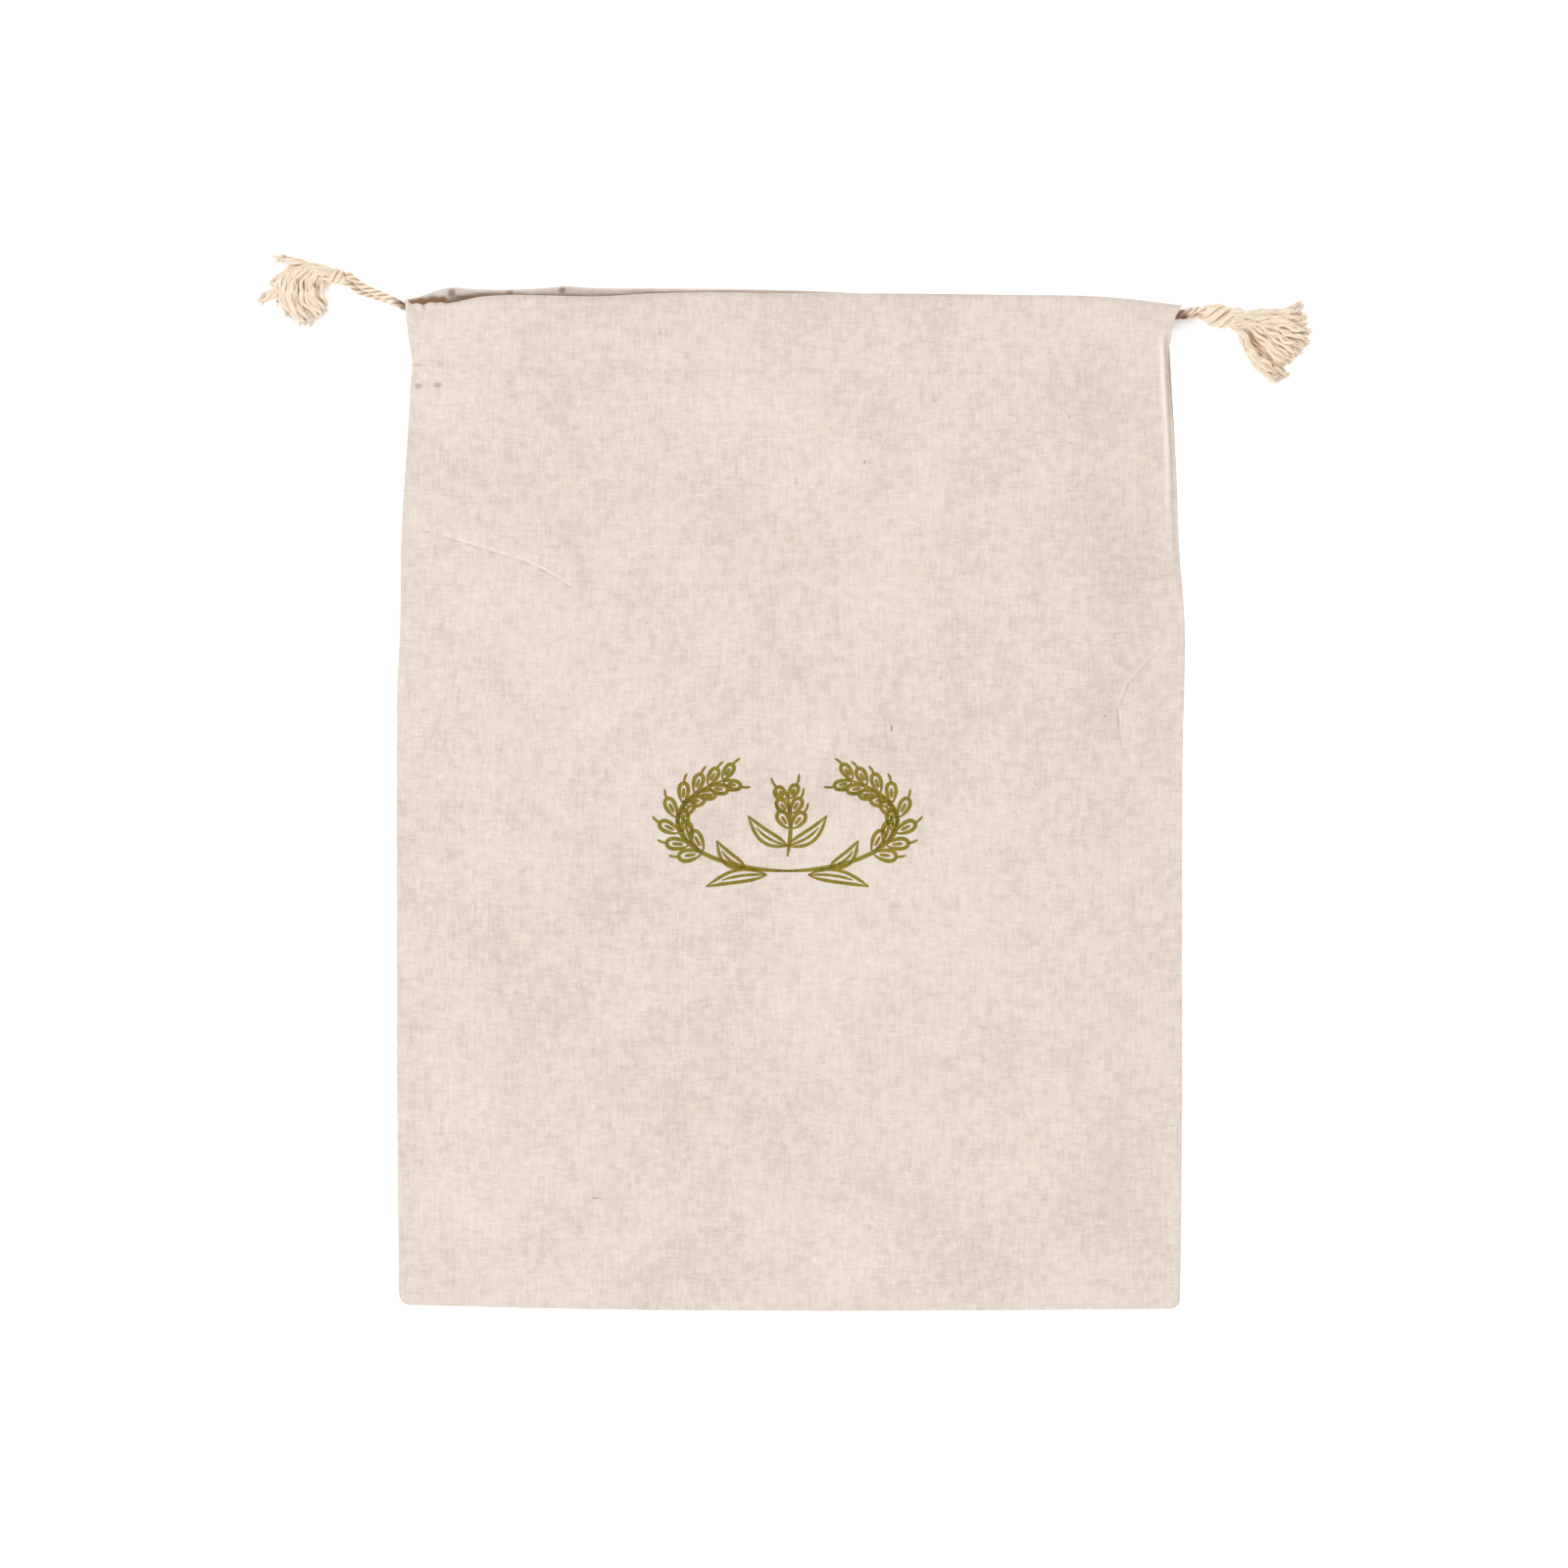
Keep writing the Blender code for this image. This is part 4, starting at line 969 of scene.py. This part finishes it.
def knot_strands(yarns, knot, strands, turn, size):
    """Bights of cord that wind round the knot, fat in its middle and drawn in at both ends."""
    t = np.linspace(0, 1, 30)
    bulge = np.sin(math.pi * t) ** 0.5
    middle = placed(*np.array(knot_point(knot, 0, 0, 0))) / MM
    run = np.array((math.cos(math.radians(knot.heading)), math.sin(math.radians(knot.heading)), 0.0))
    for strand in range(strands):
        angle = 2 * math.pi * strand / strands - turn * 2 * math.pi * (t - 0.5)
        radius_side = mix(0.8, knot.width / 2 - size / 2, bulge)
        radius_up = mix(0.8, knot.thickness / 2 - size / 2, bulge)
        along = (t - 0.5) * (knot.length - 0.8)
        stops = [knot_point(knot, a, s, u) for a, s, u in zip(
            along, radius_side * np.cos(angle), radius_up * np.sin(angle))]
        path = resampled(placed(*np.array(stops).T) / MM, 0.55)
        axis = middle + ((path - middle) @ run)[:, None] * run
        for ply in twisted(path, 3, size * 0.13, 26.0, phase=strand * 1.3):
            yarns.tube(ply, np.full(len(ply), size * 0.34), sides=10, centre=axis)
    for core in range(3):
        core_angle = 2 * math.pi * core / 3
        reach = knot.thickness * 0.13
        ends = [knot_point(knot, a * knot.length / 2, reach * math.cos(core_angle),
                           reach * math.sin(core_angle)) for a in (-0.98, -0.4, 0.4, 0.98)]
        path = resampled(placed(*np.array(ends).T) / MM, 0.8)
        yarns.tube(path, np.full(len(path), reach * 1.25), sides=8)


def lock_at(locks, share):
    """The course of a lock between a group's given ones."""
    locks = np.array(locks)
    place = share * (len(locks) - 1)
    first = min(int(place), len(locks) - 2)
    return mix(locks[first], locks[first + 1], place - first)


def fray(yarns, rng, path, size, count):
    """Thin fibres past the end of a yarn."""
    run = path[-1] - path[-4]
    run /= np.linalg.norm(run)
    for _ in range(count):
        turn = rng.uniform(-0.6, 0.6)
        away = np.array((run[0] * math.cos(turn) - run[1] * math.sin(turn),
                         run[0] * math.sin(turn) + run[1] * math.cos(turn), rng.uniform(-0.4, 0.1)))
        bend = np.array((-away[1], away[0], 0)) * rng.uniform(-0.4, 0.4)
        reach = rng.uniform(1.4, 3.4)
        steps = np.linspace(0, 1, 5)[:, None]
        offset = np.array((rng.uniform(-1, 1), rng.uniform(-1, 1), rng.uniform(-0.5, 0.5))) * size * 0.5
        points = path[-2] + offset + away * steps * reach + bend * steps ** 2 * reach
        points[:, 2] = np.maximum(points[:, 2], 0.2)
        yarns.tube(points, np.array((0.24, 0.22, 0.18, 0.13, 0.06)), sides=4, depth=-0.6, warm=1.0)


def make_tassel(name, knot, groups, counts, seed, winding, rise, curl, material):
    """A knot of wound bights, and untwisted yarns that fan out of it and lie on the surface."""
    rng = random.Random(seed)
    yarns = Yarns()
    knot_strands(yarns, knot, *winding)
    heading = math.radians(knot.heading)
    along = np.array((math.cos(heading), math.sin(heading), 0.0))
    across = np.array((-along[1], along[0], 0.0))
    hub = placed(*np.array(knot_point(knot, knot.length / 2, 0, 0))) / MM
    paths = []
    for locks, (count, height) in zip(groups, counts):
        for i in range(count):
            share = (i + rng.uniform(0.0, 1.0)) / count
            lift = rng.random()
            course = lock_at(locks, share)
            reach = 1 - (0.20 if count > 12 else 0.1) * rng.random() ** 1.6
            size = rng.uniform(0.54, 0.72)
            lean = float(course[0] @ across[:2]) / 5
            start_side = np.clip(lean + rng.uniform(-0.16, 0.16), -0.42, 0.42) * knot.width
            start_up = mix(-0.32, 0.32, lift) * knot.thickness
            start = hub - along * 4.0 + np.array((0, 0, start_up * 0.3)) + across * start_side * 0.3
            leave = hub + along * 0.4 + across * start_side * 0.8 + np.array((0, 0, start_up))
            crown = rise * (0.55 + 0.45 * math.sin(math.pi * share)) * height
            swing = np.array((rng.uniform(-1, 1), rng.uniform(-1, 1), 0.0)) * curl
            levels = (mix(size + lift * crown, leave[2], 0.35), size + lift * crown,
                      size + lift * crown * 0.75, size * 0.9 + lift * crown * 0.30)
            stops = [start, leave]
            for j, (spot, level) in enumerate(zip(course, levels)):
                stop = hub + np.array((*spot, 0.0)) + swing * j / 3
                stop[2] = level
                stops.append(stop)
            path = resampled(np.array(stops), 0.8)
            path = path[:max(int(len(path) * reach), 8)]
            travelled = np.linspace(0, 1, len(path))
            for j, place in enumerate(path):
                grow = ease(travelled[j] * 4)
                wave = Vector((j * 0.20, i * 3.3, seed + size))
                place += np.array(noise.noise_vector(wave)) * (0.8 * grow)
            crimp = ease(travelled * 3)[:, None]
            wound = next(twisted(path, 1, 0.28, rng.uniform(5.5, 9.0), phase=rng.uniform(0, 6.28)))
            path = mix(path, wound, crimp)
            path[:, 2] = np.maximum(path[:, 2], size * 0.9)
            swell = 1 + 0.22 * travelled - 0.85 * np.clip(travelled * 8 - 7, 0, 1) ** 2
            radii = size * swell * (1 + 0.08 * np.sin(travelled * 17 + i))
            # yarns that lie low in the tassel get more painted shade
            yarns.tube(path, radii, sides=7, depth=0.8 * (1 - lift * height), warm=1.0)
            fray(yarns, rng, path, size, 3)
            paths.append(path)
    stray_fibres(yarns, rng, paths, 60, 3.4)
    return yarns.piece(name, material)


def stray_fibres(yarns, rng, paths, count, length):
    """Fine fibres that stand off the yarns."""
    for i in range(count):
        path = rng.choice(paths)
        start = path[rng.randrange(len(path) // 2, len(path))]
        angle = rng.uniform(0, 2 * math.pi)
        away = np.array((math.cos(angle), math.sin(angle), rng.uniform(-0.2, 0.5)))
        size = rng.uniform(0.4, 1.0) * length
        curl = np.array(noise.noise_vector(Vector((start[0], start[1], i * 1.7)))) * size
        steps = np.linspace(0, 1, 6)[:, None]
        points = start + away * steps * size + curl * steps ** 2
        points[:, 2] = np.maximum(points[:, 2], 0.1)
        yarns.tube(points, np.full(6, 0.06), sides=3, depth=-0.6, warm=1.0)


# Print: an open wreath of two curved grain ears with a small sprig inside it, drawn in strokes
PRINT_X, PRINT_HEIGHT = -1.4, 187.4
PRINT_LIFT = 0.09
PRINT_BOLDNESS = 1.28
WREATH_X, WREATH_Y = 42.0, 19.0


def stroke(points, width, taper=0.25, step=0.8):
    """Left and right edge of a drawn line that thins towards its ends."""
    points = np.asarray(points, float)
    run = np.concatenate([[0], np.cumsum(np.hypot(*np.diff(points, axis=0).T))])
    places = np.linspace(0, run[-1], max(int(run[-1] / step), 4) + 1)
    x = smooth_curve(run, points[:, 0])(places)
    y = smooth_curve(run, points[:, 1])(places)
    along = np.stack([np.gradient(x), np.gradient(y)], axis=1)
    along /= np.linalg.norm(along, axis=1, keepdims=True)
    across = np.stack([-along[:, 1], along[:, 0]], axis=1)
    t = places / run[-1]
    ends = np.minimum(t, 1 - t) / max(taper, 1e-6)
    half = width / 2 * mix(0.45, 1.0, ease(ends))
    middle = np.stack([x, y], axis=1)
    return middle - across * half[:, None], middle + across * half[:, None]


ARC_ANGLES = np.radians(np.linspace(-97.0, 62.0, 120))
ARC = np.stack([WREATH_X * np.cos(ARC_ANGLES), WREATH_Y * np.sin(ARC_ANGLES)], axis=1)
ARC_RUN = np.concatenate([[0], np.cumsum(np.hypot(*np.diff(ARC, axis=0).T))])


def wreath_spine(t):
    """Middle line of the wreath's right half, from its foot to its tip, by its length."""
    run = t * ARC_RUN[-1]
    return np.array((np.interp(run, ARC_RUN, ARC[:, 0]), np.interp(run, ARC_RUN, ARC[:, 1])))


def sprig_spine(t):
    return np.array((1.2 * math.sin(math.pi * t), mix(-13.5, 10.0, t)))


def ear_strokes(spine, grain_start, grain_count, long_, wide, beard):
    """Stem, grains in pairs with their ribs, and beards of one ear along its spine."""
    lines = [([spine(t) for t in np.linspace(0, 0.97, 22)], 1.25)]
    outlines = []
    for i in range(grain_count):
        t = mix(grain_start, 0.94, i / (grain_count - 1))
        at = spine(t)
        run = spine(t + 0.02) - spine(t - 0.02)
        run /= np.linalg.norm(run)
        side = np.array((-run[1], run[0]))
        shrink = 1 - 0.22 * i / (grain_count - 1)
        for sign in (1, -1):
            lean = run * 0.80 + side * sign * (0.60 if sign < 0 else 0.52)
            lean /= np.linalg.norm(lean)
            flank = np.array((-lean[1], lean[0]))
            base = at + side * sign * 0.6
            outline = []
            for a in np.linspace(0, 2 * math.pi, 19):
                reach = long_ * shrink * (0.5 - 0.5 * math.cos(a))
                bulge = wide * shrink * math.sin(a) * (1 - 0.35 * math.cos(a)) * 0.62
                outline.append(base + lean * reach + flank * bulge)
            outlines.append((outline, 1.15))
            rib = [base + lean * long_ * shrink * s for s in (0.25, 0.5, 0.74)]
            lines.append((rib, 0.95))
            tip = base + lean * long_ * shrink
            if beard:
                hair = [tip, tip + (lean * 0.8 + run * 0.2) * beard * 0.5, tip + (lean * 0.6 + run * 0.4) * beard]
                lines.append((hair, 0.75))
    return lines, outlines


def leaf_strokes(start, end, lift, wide):
    """Both edges and the midrib of a slim curved leaf."""
    start, end = np.array(start, float), np.array(end, float)
    run = end - start
    side = np.array((-run[1], run[0])) / np.linalg.norm(run)
    upper, lower, rib = [], [], []
    for s in np.linspace(0, 1, 12):
        middle = start + run * s + side * lift * math.sin(math.pi * s)
        half = wide * math.sin(math.pi * s ** 0.8)
        upper.append(middle + side * half)
        lower.append(middle - side * half)
        rib.append(middle)
    return [(upper, 1.0), (lower, 1.0), (rib[:9], 0.8)]


def make_print(material):
    """The strokes, laid on the front panel's outer face, the left half a mirror image of the right."""
    lines, outlines = ear_strokes(wreath_spine, 0.46, 8, 8.6, 3.1, 4.0)
    for leaf in (((8, -20.5), (31, -25.0), 1.6, 2.3), ((16, -17.8), (27, -7.5), -2.0, 2.2)):
        lines += leaf_strokes(*leaf)
    halves = lines + outlines
    lines, outlines = ear_strokes(sprig_spine, 0.46, 3, 7.2, 3.0, 4.6)
    lines += leaf_strokes((0, -9.5), (15.0, 2.0), -2.2, 2.3)
    lines += leaf_strokes((0, -9.5), (-15.0, 2.0), 2.2, 2.3)
    drawn = [(1, *line) for line in halves + lines + outlines] + [(-1, *line) for line in halves]
    points, faces = [], []
    for mirror, path, width in drawn:
        low, high = stroke([(mirror * p[0], p[1]) for p in path], width * PRINT_BOLDNESS)
        first = len(points)
        for a, b in zip(low, high):
            points += [a, mix(a, b, 0.5), b]
        for i in range(len(low) - 1):
            for j in range(2):
                a = first + 3 * i + j
                faces.append((a, a + 3, a + 4, a + 1))
    flat = np.array(points)
    x, height = flat[:, 0] + PRINT_X, flat[:, 1] + PRINT_HEIGHT
    z = outer_face_level(x, height) + PRINT_LIFT
    return new_piece("printed_wreath", placed(x, height, z), faces, material)


def outer_face_level(x, height):
    """Level of the front's outer face away from its edges, with its finer relief."""
    inset = front_top(x) - height
    from_side = np.minimum(x - left_edge(height), right_edge(height) - x)
    level = front_level(x, height, inset)
    return level + fine_relief(x, height, np.minimum(from_side, height))


def make_stitches(material):
    """The row of stitches that closes each casing, on the outer face of the front and the back."""
    yarns = Yarns()
    length, pitch = 2.2, 2.9
    for front, top in ((True, front_top), (False, back_top)):
        for i in range(100):
            x0 = SIDES[-1].left + 2.0 + i * pitch + (0 if front else 1.1)
            if x0 + length > SIDES[-1].right - 2.0:
                break
            x = np.linspace(x0, x0 + length, 6)
            height = top(x) - (CASING_DEPTH - SEWN_STRIP - 0.6)
            arch = np.sin(math.pi * np.linspace(0, 1, 6))
            if front:
                from_side = np.minimum(x - left_edge(height), right_edge(height) - x)
                level = front_level(x, height, top(x) - height)
                level = level + fine_relief(x, height, np.minimum(from_side, height))
                z = level - 0.10 + 0.16 * arch
            else:
                z = 0.30 - 0.14 * arch
            yarns.tube(placed(x, height, z) / MM, np.full(6, 0.17), sides=6)
    return yarns.piece("casing_stitches", material)


# Studio: sizes and places in metres, lights in watts
FLOOR_HALF = 3.0
FLOOR_GLOW = 0.14
SKY_COLOUR = (1.0, 0.99, 0.975, 1)
SKY_STRENGTH = 0.84
CAMERA_X, CAMERA_Y, CAMERA_DISTANCE = -0.00266, 0.0056, 3.2
VIEW_WIDTH = 0.6
SENSOR = 36


def make_floor():
    """A plain pale surface."""
    mesh = bpy.data.meshes.new("floor")
    half = FLOOR_HALF
    corners = [(-half, -half, 0), (half, -half, 0), (half, half, 0), (-half, half, 0)]
    mesh.from_pydata(corners, [], [(0, 1, 2, 3)])
    material = bpy.data.materials.new("floor_paint")
    material.use_nodes = True
    shader = material.node_tree.nodes["Principled BSDF"]
    shader.inputs["Base Color"].default_value = (1.0, 1.0, 1.0, 1)
    shader.inputs["Roughness"].default_value = 1.0
    shader.inputs["Specular IOR Level"].default_value = 0.0
    shader.inputs["Emission Color"].default_value = (1.0, 1.0, 1.0, 1)
    shader.inputs["Emission Strength"].default_value = FLOOR_GLOW
    mesh.materials.append(material)
    floor = bpy.data.objects.new("floor", mesh)
    bpy.context.scene.collection.objects.link(floor)


def make_area(name, place, size, power):
    """A soft square light that faces the bag."""
    light = bpy.data.lights.new(name, "AREA")
    light.shape = "SQUARE"
    light.size = size
    light.energy = power
    made = bpy.data.objects.new(name, light)
    made.location = place
    made.rotation_mode = "QUATERNION"
    made.rotation_quaternion = (-Vector(place)).to_track_quat("-Z", "Y")
    bpy.context.scene.collection.objects.link(made)


def make_camera(x, y, wide, distance):
    """A long lens straight above, with the mouth's side up in the picture."""
    data = bpy.data.cameras.new("camera")
    data.sensor_width = SENSOR
    data.lens = SENSOR * distance / wide
    data.clip_end = 20
    camera = bpy.data.objects.new("camera", data)
    camera.location = (x, y, distance)
    bpy.context.scene.collection.objects.link(camera)
    bpy.context.scene.camera = camera


make_camera(CAMERA_X, CAMERA_Y, VIEW_WIDTH, CAMERA_DISTANCE)

linen = linen_material()
ink = ink_material()
cotton = cotton_material()
thread = thread_material()


def front_cord_level(x):
    """Level of the front cord's middle in its casing."""
    height = front_top(x) - NOSE
    return front_level(np.float64(x), height, np.float64(NOSE)) - NOSE


cord_front, path_front, length_front, exit_front = make_cord(
    "cord_front_plies", 0, front_top, front_cord_level, cotton)
cord_back, path_back, length_back, exit_back = make_cord(
    "cord_back_plies", 1, back_top, lambda x: NOSE, cotton)
left_tassel = make_tassel(
    "tassel_left_yarns", LEFT_KNOT, LEFT_LOCKS, ((76, 1.0), (9, 0.6), (6, 0.6), (9, 0.5)),
    11, (2, 1.5, 2.7), 4.6, 1.1, cotton)
right_tassel = make_tassel(
    "tassel_right_yarns", RIGHT_KNOT, RIGHT_LOCKS, ((30, 1.0), (80, 1.0), (14, 0.12)),
    23, (5, 0.56, 3.1), 4.6, 0.8, cotton)
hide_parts("drawcord_front")
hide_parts("drawcord_back")
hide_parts("tassel_left")
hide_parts("tassel_right")
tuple(exit_front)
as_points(path_front)
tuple(exit_back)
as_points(path_back)

back = make_panel("back_cloth", (5.5, 1.6, 2.0), 9, back_top, BACK_TUCK, False, linen)
front = make_panel("front_cloth", (1.9, 1.7, 1.5), 10, front_top, 0.0, True, linen)
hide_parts("back_panel")
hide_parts("front_panel")

wreath = make_print(ink)
stitches = make_stitches(thread)

make_floor()
world = bpy.data.worlds.new("studio")
world.use_nodes = True
world.node_tree.nodes["Background"].inputs["Color"].default_value = SKY_COLOUR
world.node_tree.nodes["Background"].inputs["Strength"].default_value = SKY_STRENGTH
bpy.context.scene.world = world
make_area("key", (-2.5, -1.5, 2.4), 1.5, 96)
make_area("fill", (1.9, 1.2, 2.0), 1.4, 36)
bpy.context.scene.view_settings.view_transform = "Standard"
